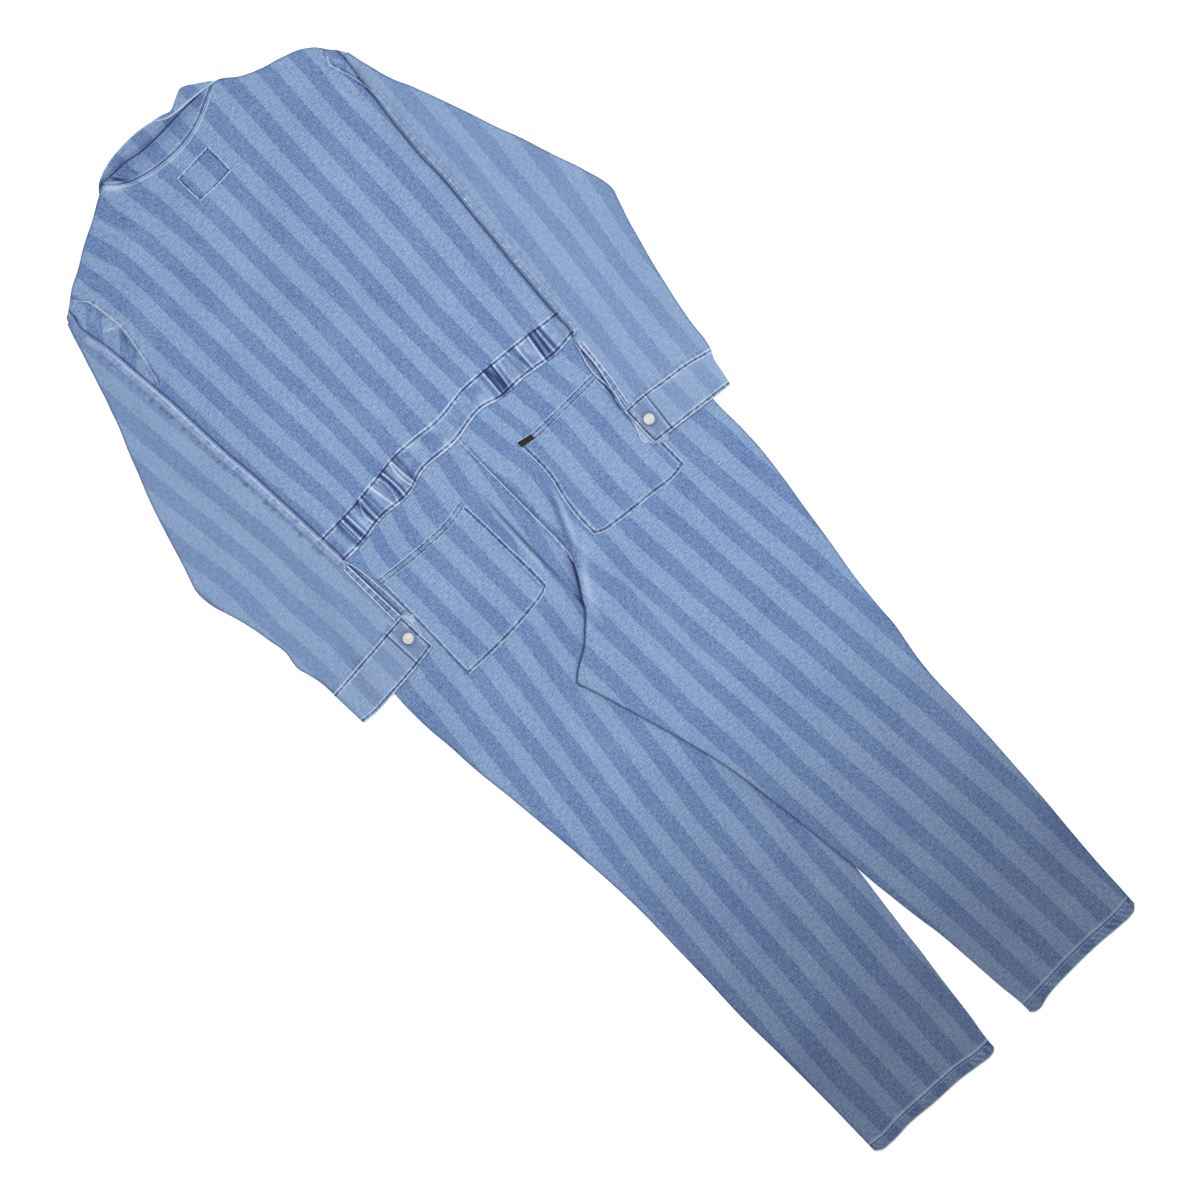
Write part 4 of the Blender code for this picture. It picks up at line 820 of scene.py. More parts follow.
Pleat = namedtuple("Pleat", "top middle bottom width height")     # x at y 250, 236 and 222
PLEATS = [
    Pleat(-170, -172, -171, 3.5, -0.5), Pleat(-167, -166.7, -166.5, 0.7, 0.3),
    Pleat(-165.4, -165.2, -165, 0.8, -0.6), Pleat(-163.5, -163.2, -163, 0.9, 0.9),
    Pleat(-159.6, -159.4, -158.6, 1.9, -0.9), Pleat(-155, -154.6, -153.8, 1.0, 1.0),
    Pleat(-147.6, -147, -147.6, 0.9, 0.4), Pleat(-144, -143.4, -143, 1.0, 0.2),
    Pleat(-132, -139.3, -138.4, 0.9, 0.9), Pleat(-135, -135.4, -134.6, 2.2, -0.8),
    Pleat(-129.8, -131, -131.2, 1.0, 0.7), Pleat(-126.6, -127.2, -127.4, 1.8, -0.5),
    Pleat(-123.6, -122.2, -122.4, 0.7, 0.4), Pleat(-120, -119, -118.6, 1.0, -0.3),
    Pleat(-111, -108.6, -106, 1.0, 0.8), Pleat(-103.6, -102, -101.6, 1.6, -0.3),
    Pleat(-96.2, -95, -98, 0.9, 0.7), Pleat(-91.6, -90.8, -91.6, 1.6, -0.9),
    Pleat(-88.6, -87.2, -87.6, 0.8, 1.0), Pleat(-85.8, -85.2, -85.4, 1.0, -0.8),
    Pleat(-76.2, -77.2, -74.4, 1.0, 0.9), Pleat(-72.4, -71.6, -69.6, 0.9, 0.8),
    Pleat(-69, -68, -67, 1.4, -0.6), Pleat(-64, -64.6, -66, 2.4, -0.4),
    Pleat(75, 74, 73, 2.0, -0.3), Pleat(80.2, 79.2, 78, 0.9, 0.9), Pleat(83, 82.2, 81, 1.4, -0.9),
    Pleat(89.6, 86.4, 83.6, 0.9, 0.25), Pleat(87, 88.6, 87, 3.2, -0.6),
    Pleat(93.6, 92.4, 90.4, 1.2, -0.9), Pleat(96.6, 94.8, 92.6, 0.9, 1.0),
    Pleat(103.4, 101, 100, 1.1, 0.35), Pleat(110.6, 110, 109, 1.3, 0.25),
    Pleat(115.6, 115.4, 116, 0.9, -0.4), Pleat(119.4, 121.6, 122.4, 0.8, 0.5),
    Pleat(126, 126.4, 126.8, 1.8, -0.4), Pleat(131.4, 130.2, 129.6, 0.9, 0.8),
    Pleat(150, 147.4, 145.4, 1.0, 1.1), Pleat(153, 151, 149, 1.9, -1.0),
    Pleat(158, 155, 152, 0.8, 0.45), Pleat(160.4, 158.6, 157, 1.7, -0.9),
    Pleat(163.4, 162.2, 161.4, 0.9, 0.8),
    Pleat(166.4, 165.8, 165, 1.2, -0.5), Pleat(171.4, 170.4, 169.4, 1.2, 0.35),
    Pleat(185, 184, 183, 5.0, -0.3),
]
BAND_EDGES = (-165, -150, -134, -116, -100, -82, -66, -48, -30, -11, 11, 30, 48, 67, 82, 101, 120,
              136, 152, 171)
BAND_STRIPES = stripe_rows(-5, {300: BAND_EDGES, 100: BAND_EDGES})
SHADED_GATHERS = [      # gathered stretches from x to x, and how much painted shade darkens them
    (-170, -152, 0.45), (-141, -120, 0.36), (-97, -84, 0.38), (-78, -62, 0.26), (76, 97, 0.5),
    (108, 130, 0.2), (146, 168, 0.5),
]
denim_waist = denim("worn_waistband_denim", LIGHT_BLUE, DARK_BLUE,
                    ((0.3, 1.1, 0.95), (2.7, 0.9, -0.9), (5.4, 0.9, 0.5)))
top = moved(WAIST_TOP, 0.6)
bottom = moved(WAIST_BOTTOM, SEAM_GAP)
x, y = panel(level(-221), level(223), top, bottom, fit(444, 0.8), fit(42, 1.4))
relief = 0 * x
for pleat in PLEATS:
    t = (236 - y) / 14
    line = pleat.middle + (pleat.bottom - pleat.top) / 2 * t
    line = line + ((pleat.bottom + pleat.top) / 2 - pleat.middle) * t ** 2
    relief = relief + stroke(x - line, pleat.width, pleat.height)
worn_middle = uneven(x, y, 13, 26, 0.12)
to_top, to_bottom = top(x) - y, y - bottom(x)
inner = soft_step(np.minimum(to_top, to_bottom), 1.5, 6)
seam, run = to_edges(x, y, crosses=[moved(WAIST_TOP, 0), moved(WAIST_BOTTOM, 1.1)])
z = body_height(x, y) + 0.5 + 1.1 * relief * (0.2 + 0.8 * inner) + uneven(x, y, 12, 14, 0.12)
gather_shade = 0 * x
for low, high, strength in SHADED_GATHERS:
    inside = soft_step(x, low - 3, low + 2) * soft_step(-x, -high - 3, -high + 2)
    gather_shade = gather_shade + strength * inside
# painted: shade over the gathered stretches, highlight on the pleats' crests and shade in their troughs,
# and the sleeves' shadow through the gap
cloth("waistband", x, y, z, BAND_STRIPES, ["waistband_back"], denim_waist,
      rests_on=["waistband_front_left_panel", "waistband_front_right_panel"], seam=seam, run=run,
      shade=worn_middle + gather_shade - 1.15 * relief * (0.35 + 0.65 * inner), gap=under_sleeves(x, y))


# ---- Pockets -------------------------------------------------------------------------------
# Two patch pockets topstitched to the seat, each with a turned band along its top. A small black
# woven tab is folded into the top band of the right one; its face is left bare.

# edges of each pocket, its stripes and the height of the leg under it
LEFT_POCKET = {
    "left": curve([(169, -182.5), (145, -182), (90, -182), (22, -183), (8, -183)]),
    "right": curve([(169, -46), (145, -44), (90, -42), (22, -41), (8, -42)]),
    "top": curve([(-183, 169), (-150, 165), (-110, 162), (-72, 162), (-46, 167)]),
    "bottom": curve([(-183, 10), (-130, 9), (-75, 12.5), (-50, 17), (-40, 22)]),
    "stripes": stripe_rows(-3, {170: (-163, -146, -123, -105, -86, -68, -50, -32),
                                10: (-163, -145, -124, -106, -85, -68, -50, -32)}),
    "height": left_leg_height,
}
RIGHT_POCKET = {
    "left": curve([(170, 52), (105, 50), (85, 45), (50, 40.5), (6, 41)]),
    "right": curve([(170, 178), (6, 179)]),
    "top": curve([(51, 170), (72, 165), (100, 164.5), (178, 165)]),
    "bottom": curve([(40, 25), (50, 20), (80, 14.5), (125, 10), (158, 6.5), (179, 9.5)]),
    "stripes": stripe_rows(1, {150: (53, 71, 92, 111, 131, 149, 170, 188),
                               50: (49, 64, 86, 103, 128, 145, 164, 177)}),
    "height": right_leg_height,
}
POCKET_BAND = 9.0
denim_pocket = denim("worn_pocket_denim", LIGHT_BLUE, DARK_BLUE,
                     ((0.3, 0.9, 0.9), (3.1, 1.1, -0.85), (5.8, 0.9, 0.35)))

black = Look("black_woven_tab")
weave = black.node("ShaderNodeUVMap", {"uv_map": "weave"}, {})
ribs = black.noise(black.stretched(weave, 300.0, 2600.0), 1.0, 2.0)
tab_black = black.finish(
    Base_Color=black.mix(ribs, rgb(10, 10, 12), rgb(30, 30, 34)), Roughness=0.85,
    Normal=black.bump(ribs, 0.6, 0.0006))
x, y = panel(level(52.5), level(71), curve([(52, 168.2), (72, 164.4)]),
             curve([(52, 160.2), (72, 157.2)]), fit(18, 0.8), fit(8, 0.8))
z = right_leg_height(x, y) + CLOTH * 2 + 1.6 + 0.5 * np.sin((x - 52) / 19 * math.pi)
tab = cloth("tab", x, y, z, x / STRIPE, ["pocket_tab"], tab_black, "tab_black", 0.6)

for name, pocket in (("left", LEFT_POCKET), ("right", RIGHT_POCKET)):
    sides = pocket["left"], pocket["right"]
    band_end = moved(pocket["top"], -POCKET_BAND)
    x, y = panel(*sides, moved(band_end, -0.2), pocket["bottom"], fit(138, 3.0, 1.2),
                 fit(145, 3.0, 1.2))
    left_seam = moved(sides[0], -3.2 if name == "left" else 0)
    seam, run = to_edges(x, y, [left_seam, sides[1]], [pocket["bottom"]])
    puff = 0.5 * rolled(x, y, *sides, 20) * soft_step(y - pocket["bottom"](x), 0, 20)
    z = pocket["height"](x, y) + SEWN_ON + puff
    # the gap from the sleeves' inner edges paints their shadow on the pocket
    cloth(f"pocket_{name}_body", x, y, z, pocket["stripes"], [f"pocket_{name}"], denim_pocket,
          rests_on=[f"trouser_{name}"], seam=seam, run=run, gap=under_sleeves(x, y))
    x, y = panel(*sides, pocket["top"], band_end, fit(138, 1.5), fit(9, 0.9))
    seam, run = to_edges(x, y, crosses=[pocket["top"], moved(band_end, -0.4)])
    z = pocket["height"](x, y) + CLOTH + 0.4 + 0.5 * rolled(y, x, band_end, pocket["top"], 3)
    cloth(f"pocket_{name}_top", x, y, z, pocket["stripes"], [f"pocket_{name}_band"], denim_seam,
          "denim_seam", 1.2, rests_on=[f"trouser_{name}"], with_pieces=[tab] if name == "right" else [],
          seam=seam, run=run)


# ---- Neck patch ----------------------------------------------------------------------------
# A small plain patch of the same denim sewn flat under the back of the neck, its stripes out of
# line with those around it.

PATCH_LEFT = curve([(684, -18.6), (663, -18.2), (640, -16.8)])
PATCH_RIGHT = curve([(684, 36.4), (663, 36.6), (641, 36.2)])
PATCH_TOP = curve([(-18, 680.2), (37, 682.6)])
PATCH_BOTTOM = curve([(-18, 641.2), (10, 640.0), (37, 641.2)])
x, y = panel(PATCH_LEFT, PATCH_RIGHT, PATCH_TOP, PATCH_BOTTOM, fit(54, 1.4), fit(40, 1.4))
seam, run = to_edges(x, y, [PATCH_LEFT, PATCH_RIGHT], [PATCH_TOP, PATCH_BOTTOM])
PATCH_STRIPES = stripe_rows(-1, {
    690: (-26, -8, 15, 36, 54, 73),
    640: (-24, -6, 16, 37, 55, 74),
})
denim_patch = denim("worn_patch_denim", LIGHT_BLUE, DARK_BLUE, ((0.5, 1.0, 0.75), (2.8, 0.8, -0.85)))
cloth("patch", x, y, body_height(x, y) + CLOTH + 0.15, PATCH_STRIPES, ["neck_patch"], denim_patch,
      "denim_seam", 0.8, rests_on=["bodice"], seam=seam, run=run)


# ---- Collar --------------------------------------------------------------------------------
# A shirt collar standing up. Its back half rises from the topstitched neck seam; behind it shows
# the inside of the front half, and at the right one point of the leaf.

COLLAR_STRIPES = stripe_rows(-4, {
    760: (-104, -85, -66, -47, -24, -4, 17, 37, 57, 75, 95, 114),
    700: (-104, -85, -66, -47, -25, -5, 16, 36, 57, 75, 95, 114),
})
COLLAR_TOP = curve([
    (-86, 738), (-70, 737), (-45, 736), (-32, 733), (0, 731.5), (40, 733), (90, 732.3),
])
COLLAR_SEAM = curve([
    (-86, 736.8), (-76, 728.2), (-67, 720.2), (-45, 711.2), (-20, 706.2), (0, 704.9), (20, 705.7),
    (45, 711.2), (70, 721.7), (90, 731.2),
])
x, y = panel(level(-86), level(90), COLLAR_TOP, COLLAR_SEAM, fit(176, 2.0), fit(27, 1.5))
above = y - COLLAR_SEAM(x)
z = 3.7 + 0.8 * soft_step(above, 0, 6) + creased(x, y, BODY_CREASES)
# folds only painted: shade, and highlight where the height is negative
COLLAR_FOLDS = [
    Crease(-89, 739, -68, 722, 0, 3.5, -1.3), Crease(-74, 737, -58, 717, 1, 3.0, 1.0),
    Crease(-52, 728, -44, 713, 0, 2.0, 0.5), Crease(38, 716, 44, 710, 0, 1.5, 0.5),
]
# a little darker all over, with a deep and a pale line along the neck seam; painted shade at the left
# end and below the top edge, and the folds' painted shade and highlight
shade = (0.12 + stroke(above - 1.0, 1.0, 0.75) - stroke(above - 2.9, 0.9, 0.5)
         + stroke(x + 80, 9.0, 0.3) + stroke(COLLAR_TOP(x) - y - 4.0, 5.0, 0.22)
         + creased(x, y, COLLAR_FOLDS))
cloth("collar_stand", x, y, z, COLLAR_STRIPES, ["collar_back"], denim_body, rests_on=["bodice"],
      shade=shade)
COLLAR_FRONT_TOP = curve([
    (-97, 733.3), (-91, 740), (-85, 744), (-76, 748), (-62, 752), (-40, 754.5), (0, 752.5),
    (14, 749.3), (35, 743.3), (60, 741), (97, 732),
])
x, y = panel(level(-97), level(97), COLLAR_FRONT_TOP, moved(FRONT_NECK, 1.4), fit(194, 2.0),
             fit(60, 0.7))
past_back = y - COLLAR_TOP(x)
# painted shade over the inside of the neck; the painted shadow of the back collar just past its top
# edge, a broader painted shade beyond it and at the left end, and a pale line along the fold at the top
shade = (0.12 + stroke(past_back - 0.9, 1.3, 1.2) * (0.3 + 0.7 * soft_step(x, -84, -68))
         + stroke(past_back - 4.0, 3.5, 0.3) - stroke(COLLAR_FRONT_TOP(x) - y - 1.0, 0.8, 0.4)
         + stroke(x + 90, 9.0, 0.5))
cloth("collar_inside", x, y, 0.0, COLLAR_STRIPES, ["collar_front"], denim_body, rests_on=["floor"],
      shade=shade)
POINT_TOP = curve([
    (10, 750.6), (22, 747.5), (35, 744), (42, 747), (50, 751), (61, 755), (69, 752), (78, 746),
    (88, 739.5), (98, 732.3),
])
POINT_BOTTOM = curve([(10, 749.4), (17, 744), (25, 740), (35, 738), (60, 736), (98, 731.3)])
x, y = panel(level(10), level(98), POINT_TOP, POINT_BOTTOM, fit(88, 1.5), fit(18, 1.2))
cloth("collar_leaf", x, y, 1.5 + 1.0 * soft_step(y - POINT_BOTTOM(x), 0, 3), COLLAR_STRIPES,
      ["collar_point"], denim_body, rests_on=["collar_inside"],
      shade=-stroke(y - POINT_BOTTOM(x) - 0.8, 1.0, 1.1))


# ---- Hems ----------------------------------------------------------------------------------
# Turned hems, folded double and sewn with one row that has pulled the cloth into slanting ropes.
# Their front halves lie flat and plain under the back ones.

LEFT_HEM_END = curve([
    (-235, -737), (-230, -741), (-213, -744), (-180, -743), (-145, -746), (-100, -748), (-70, -752),
    (-57, -753.5), (-50, -752), (-46, -748),
])
RIGHT_HEM_END = curve([
    (14, -748), (18, -752), (24, -754), (41, -750.5), (95, -747.5), (130, -748), (166, -750.5),
    (180, -751), (190, -748), (194, -743),
])
# sides, top and end of each hem, and the height and stripes of its leg
HEMS = {
    "left": (LEFT_OUTER, LEFT_INNER, LEFT_HEM_SEAM, LEFT_HEM_END, left_leg_height, LEFT_STRIPES),
    "right": (RIGHT_INNER, RIGHT_OUTER, RIGHT_HEM_SEAM, RIGHT_HEM_END, right_leg_height,
              RIGHT_STRIPES),
}
for name, (left, right, start, end, height, stripes) in HEMS.items():
    top = moved(start, -SEAM_GAP)
    x, y = panel(left, right, top, end, fit(190, 1.4), fit(13, 1.2))
    rope = np.sin((x + 0.7 * (y + 740)) * 2 * math.pi / 8.5 + uneven(x, y, 21, 30, 1.4))
    rope = rope * soft_step(uneven(x, 0 * y, 22, 40, 1.0), -1.2, 0.8)
    middle = rolled(y, x, end, top, 4)
    z = height(x, y) + 0.5 + 0.6 * middle + 0.28 * rope * middle
    shade = (0.18 + stroke(start(x) - y - 0.5, 1.0, 0.8) - 0.36 * rope * middle
             - stroke(y - end(x) - 0.7, 0.9, 0.5))
    cloth(f"hem_{name}", x, y, z, stripes, [f"hem_{name}_back"], denim_body, "denim_seam", 1.4,
          rests_on=[f"hem_{name}_under"], shade=shade)
    x, y = panel(moved(left, 1), moved(right, -1), level(FRONT_HEM), moved(end, 1), fit(190, 6),
                 fit(13, 4))
    cloth(f"hem_{name}_under", x, y, 0.0, stripes, [f"hem_{name}_front"], denim_body, "denim_seam", 1.4,
          rests_on=["floor"])


# ---- Sleeves -------------------------------------------------------------------------------
# Straight sleeves of the same denim in a lighter wash, laid down along the body. A felled seam
# runs down the inner edge, with a slit and its narrow bound placket above the cuff.

LEFT_SLEEVE_OUT = curve([
    (647, -232.5), (640, -235), (625, -240), (610, -244.5), (595, -249.5), (580, -254), (565, -259),
    (550, -263.5), (535, -269), (520, -274), (505, -280), (490, -286.5), (460, -298), (430, -310),
    (400, -320), (370, -329), (340, -338), (325, -343), (312, -347), (303, -347.7), (295, -347.3),
    (280, -344.5), (265, -339.5), (250, -335), (235, -331), (220, -328), (205, -325.5), (190, -322.5),
    (180, -322), (170, -324), (160, -325), (145, -321), (130, -317.5), (115, -316), (100, -316),
])
RIGHT_SLEEVE_OUT = curve([
    (645, 234), (625, 238.5), (610, 242.5), (595, 246.5), (580, 252), (565, 259.5), (550, 265.5),
    (535, 271.5), (520, 277), (505, 282.5), (490, 288), (475, 293), (460, 298), (430, 310),
    (400, 320), (385, 325), (370, 330.5), (355, 336), (340, 340.5), (325, 345), (310, 347.3),
    (303, 346.8), (295, 343.8), (280, 339), (265, 334), (250, 330), (235, 326), (220, 322),
    (205, 318.3), (190, 315), (175, 311.7), (160, 308.5), (145, 305.7), (130, 303), (115, 301.3),
    (100, 300), (85, 296.5),
])
LEFT_SLEEVE_END = curve([(-317, 107.5), (-260, 112), (-191, 118)])
RIGHT_SLEEVE_END = curve([(167, 106.5), (203, 104.5), (230, 100.5), (260, 96.5), (298, 87.5)])
LEFT_SLEEVE_STRIPES = stripe_rows(-1, {
    120: (-318, -299, -280, -261, -242, -224, -206, -188),
    150: (-317, -299, -278, -260, -242, -223, -206, -188),
    180: (-318, -301, -281, -262, -242, -224, -208, -190),
    210: (-320, -304, -284, -265, -246, -228, -209, -191),
    240: (-323, -303, -284, -267, -248, -231, -209, -191),
    270: (-321, -302, -283, -266, -248, -231, -210, -192),
    300: (-324, -304, -286, -268, -251, -231, -213, -195),
    330: (-330, -310, -290, -272, -254, -236, -214, -196),
    360: (-333, -315, -293, -274, -255, -238, -217, -199),
    400: (-337, -318, -299, -280, -261, -242, -222, -204),
    440: (-341, -322, -302, -285, -264, -245, -225, -207),
    480: (-345, -327, -307, -288, -270, -248, -231, -213),
    520: (-347, -328, -309, -290, -270, -252, -234, -216),
    600: (-353, -334, -315, -296, -278, -258, -240, -222),
})
RIGHT_SLEEVE_STRIPES = stripe_rows(0, {
    100: (192, 209, 231, 249, 269, 287, 307, 325),
    120: (195, 212, 234, 252, 272, 289, 309, 327),
    150: (199, 216, 236, 254, 274, 290, 309, 327),
    180: (202, 220, 240, 258, 278, 294, 312, 330),
    210: (204, 225, 245, 262, 278, 294, 314, 332),
    240: (208, 228, 249, 266, 282, 298, 317, 336),
    270: (212, 230, 252, 270, 286, 303, 322, 340),
    300: (216, 234, 256, 274, 290, 308, 329, 348),
    330: (220, 237, 259, 276, 293, 313, 334, 352),
    360: (220, 242, 262, 278, 298, 318, 338, 357),
    400: (226, 246, 264, 281, 304, 324, 344, 362),
    440: (231, 250, 267, 287, 307, 327, 346, 365),
    480: (233, 253, 270, 288, 309, 329, 349, 368),
    520: (236, 255, 274, 293, 314, 333, 353, 372),
    600: (240, 259, 280, 299, 320, 339, 359, 378),
})
SLEEVE_CREASES = [
    Crease(-335, 285, -255, 330, 4, 16, 1.8), Crease(-325, 235, -250, 262, -4, 14, 1.4),
    Crease(-300, 420, -240, 380, 4, 20, 1.4), Crease(-262, 520, -236, 400, 4, 18, 1.2),
    Crease(335, 292, 262, 335, -4, 16, 1.8), Crease(322, 240, 248, 268, 4, 14, 1.3),
    Crease(300, 430, 240, 372, -4, 20, 1.3), Crease(268, 520, 238, 410, -4, 18, 1.2),
]
BODY_THICKNESS = 4.1    # under a sleeve
POCKET_THICKNESS = 1.3
# the sides of what lies under the sleeves, down to the seat
BED_LEFT = curve(LEFT_SIDE + [(150, -240), (100, -254), (55, -263), (0, -263)])
BED_RIGHT = curve(RIGHT_SIDE + [(150, 238), (100, 249), (55, 256), (0, 257)])


def sleeve_bed(x, y):
    """What a sleeve lies on: the body and the pockets, and beside them the surface."""
    inside = np.minimum(x - BED_LEFT(y), BED_RIGHT(y) - x)
    height = BODY_THICKNESS + POCKET_THICKNESS * soft_step(-y, -330, -270)
    return height * soft_step(inside, -34, -4)


def sleeve_height(x, y, left, right):
    under_layer = CLOTH * soft_step(-y, -600, -550)
    return (sleeve_bed(x, y) + under_layer + EDGE_GAP + PUFF * rolled(x, y, left, right)
            + creased(x, y, SLEEVE_CREASES) + uneven(x, y, 6, 80, 0.35))


denim_felled = denim("worn_felled_denim", rgb(128, 152, 186), rgb(113, 137, 176),
                     ((1.2, 1.5, 0.4), (4.4, 0.8, -0.15)))
# sides, top, end and stripes of each sleeve, and the way outward in x
SLEEVES = {
    "left": (LEFT_SLEEVE_OUT, LEFT_SLEEVE_IN, 647, LEFT_SLEEVE_END, LEFT_SLEEVE_STRIPES, -1),
    "right": (RIGHT_SLEEVE_IN, RIGHT_SLEEVE_OUT, 645, RIGHT_SLEEVE_END, RIGHT_SLEEVE_STRIPES, 1),
}
for name, (left, right, start, end, stripes, outward) in SLEEVES.items():
    x, y = panel(left, right, level(start), moved(end, SEAM_GAP), fit(125, 3.0, 1.3), fit(540, 3.0))
    seam, run = to_edges(x, y, crosses=[moved(end, -1.0)])
    outer, inner_edge = (left, right) if name == "left" else (right, left)
    # the felled seam has pulled the cloth beside it into short deep folds, which are painted as
    # blotches of shade only
    pulled = stroke(abs(x - inner_edge(y)) - 11.5, 3.0, 0.75 if name == "left" else 0.25)
    pulled = pulled * np.clip(uneven(0 * x, y, 34, 9, 1.0), 0, 1)
    pulled = pulled * soft_step(y, 226, 246) * soft_step(-y, -602, -585)
    # the outer edge gets a painted dark rim
    cloth(f"sleeve_{name}", x, y, sleeve_height(x, y, left, right), stripes, [f"sleeve_{name}_upper"],
          denim_sleeve, "denim_sleeve", rests_on=[f"sleeve_{name}_lining_side", "bodice"], seam=seam,
          run=run, shade=stroke(x - outer(y), 1.8, 0.5) + pulled)
    x, y = panel(moved(left, 1.5), moved(right, -1.5), level(548), moved(end, 0.6), fit(120, 8),
                 fit(440, 8))
    cloth(f"sleeve_{name}_lining_side", x, y, sleeve_bed(x, y), stripes, [f"sleeve_{name}_under"],
          denim_sleeve, "denim_sleeve", rests_on=["bodice", "floor"])
    near, far = moved(inner_edge, 0.6 * outward), moved(inner_edge, 9.6 * outward)
    sides = (far, near) if name == "left" else (near, far)
    x, y = panel(*sides, level(622), level(211), fit(9, 0.9), fit(410, 1.3))
    pucker = uneven(0.25 * x, y, 31 + outward, 7.5, 0.6) + uneven(0 * x, y, 33 + outward, 19, 0.35)
    middle = rolled(x, y, *sides, 3)
    z = sleeve_height(x, y, left, right) + SEWN_ON + (0.5 + 0.3 * pucker) * middle
    seam, run = to_edges(x, y, [inner_edge])
    z = z - 0.8 * soft_step(seam, 6.5, 9.0)
    # the puckers are lighter where they rise and darker where they sink: wear and painted light and
    # shade
    cloth(f"sleeve_{name}_felled_seam", x, y, z, stripes, [f"sleeve_{name}_seam"], denim_felled,
          "denim_seam", 0.8, rests_on=[f"sleeve_{name}"], seam=seam + 20 * soft_step(y, 588, 616),
          run=run, shade=(-0.15 if name == "left" else 0.12) - 0.12 * pucker * middle)

# sides and top of each placket, and sides, top and end of the leaf under its slit
PLACKETS = {
    "left": (curve([(205, -203), (120, -202)]), curve([(205, -196.2), (120, -193.2)]), 205,
             curve([(206, -195.4), (180, -194.3), (150, -193.3), (119, -191.8)]),
             curve([(206, -193.4), (195, -190), (180, -187.5), (165, -186.5), (150, -185.3),
                    (119, -183.7)]), 206, 119),
    "right": (curve([(199, 187), (170, 184.7), (150, 181.3), (109, 172.3)]),
              curve([(199, 193), (170, 190.5), (150, 188), (109, 181)]), 199,
              curve([(204, 184.6), (190, 181.5), (180, 178.2), (165, 175.9), (152, 176), (142, 177.2)]),
              curve([(204, 186.6), (190, 185.3), (180, 184.4), (165, 183.1), (152, 180.5),
                     (142, 178.6)]), 204, 142),
}
for name, (left, right, start, leaf_left, leaf_right, leaf_top, leaf_end) in PLACKETS.items():
    sleeve_left, sleeve_right, _, end, stripes, _ = SLEEVES[name]
    x, y = panel(left, right, level(start), moved(end, 1.3), fit(8, 0.9), fit(90, 1.4))
    middle = rolled(x, y, left, right, 2.5)
    rungs = uneven(0 * x, y, 41, 8, 0.5)
    z = sleeve_height(x, y, sleeve_left, sleeve_right) + SEWN_ON + (0.45 + 0.12 * rungs) * middle
    seam, run = to_edges(x, y, [left, right])
    # the rungs are lighter where they rise and darker where they sink: wear and painted light and shade
    cloth(f"placket_{name}", x, y, z, stripes, [f"sleeve_{name}_placket"], denim_seam, "denim_seam",
          0.8, rests_on=[f"sleeve_{name}"], seam=seam, run=run,
          shade=(-0.3 * rungs * middle - stroke(x - left(y) - 0.8, 0.8, 0.5)
                 - stroke(x - right(y) + 0.8, 0.8, 0.5)))
    x, y = panel(leaf_left, leaf_right, level(leaf_top), level(leaf_end), fit(7, 1.0), fit(87, 2.0))
    outer, slit = (leaf_right, leaf_left) if name == "left" else (leaf_left, leaf_right)
    seam, run = to_edges(x, y, [outer])
    # painted shadow in the slit beside the leaf, and a pale line along its outer edge
    shade = stroke(x - slit(y), 2.2, 1.1) - stroke(x - outer(y), 0.9, 0.8)
    cloth(f"placket_{name}_leaf", x, y, sleeve_bed(x, y) + 0.3, stripes, [f"sleeve_{name}_underleaf"],
          denim_seam, "denim_seam", rests_on=["bodice"], seam=seam, run=run, shade=shade)


# ---- Cuffs ---------------------------------------------------------------------------------
# Folded cuffs, stitched all round, each lapped over its own under leaf and closed by one metal
# shank button with a plain ringed face.

# edges of each cuff, the line where it laps over, its leaf, stripes and the button's place
LEFT_CUFF = {
    "left": curve([(118, -316.3), (107, -316), (57, -314)]),
    "right": curve([(118, -191.7), (107, -191.7), (57, -190)]),
    "end": curve([(-316, 58), (-305, 56.3), (-260, 57.5), (-220, 61), (-190, 65)]),
    "lap": curve([(113, -221), (65, -219)]),
    "leaf": (curve([(117, -191.4), (109.5, -191.2), (97, -190.8), (84, -190.5)]),
             curve([(117, -190.4), (113, -185.5), (109.5, -181.8), (104, -183), (97, -186), (90, -188.6),
                    (84, -189.7)]), 117, 84),
    "stripes": stripe_rows(-1, {120: (-292, -276, -252, -234, -214, -199, -176, -160),
                                50: (-291, -275, -251, -233, -214, -199, -176, -160)}),
    "button": (-205, 92),
}
RIGHT_CUFF = {
    "left": curve([(106, 170.7), (87, 170.3), (78, 170), (42, 170)]),
    "right": curve([(106, 299), (87, 297), (78, 292), (60, 288), (40, 283.5)]),
    "end": curve([(170, 52), (200, 49), (260, 42), (298, 38)]),
    "lap": curve([(104, 203), (50, 197)]),
    "leaf": (curve([(92, 169), (84, 166.8), (75, 164), (66, 160.7), (61.5, 161.7), (57, 166),
                    (53.5, 168), (51.8, 170.3), (50.5, 172), (47, 177), (44, 182)]),
             curve([(92, 170), (57, 169.7), (53.5, 169.7), (51.8, 173.5), (50.5, 186.3), (47, 187),
                    (44, 184.2)]), 92, 44),
    "stripes": stripe_rows(0, {120: (182, 195, 221, 239, 262, 279, 300, 318),
                               40: (178, 192, 219, 237, 260, 277, 298, 316)}),
    "button": (185, 78),
}
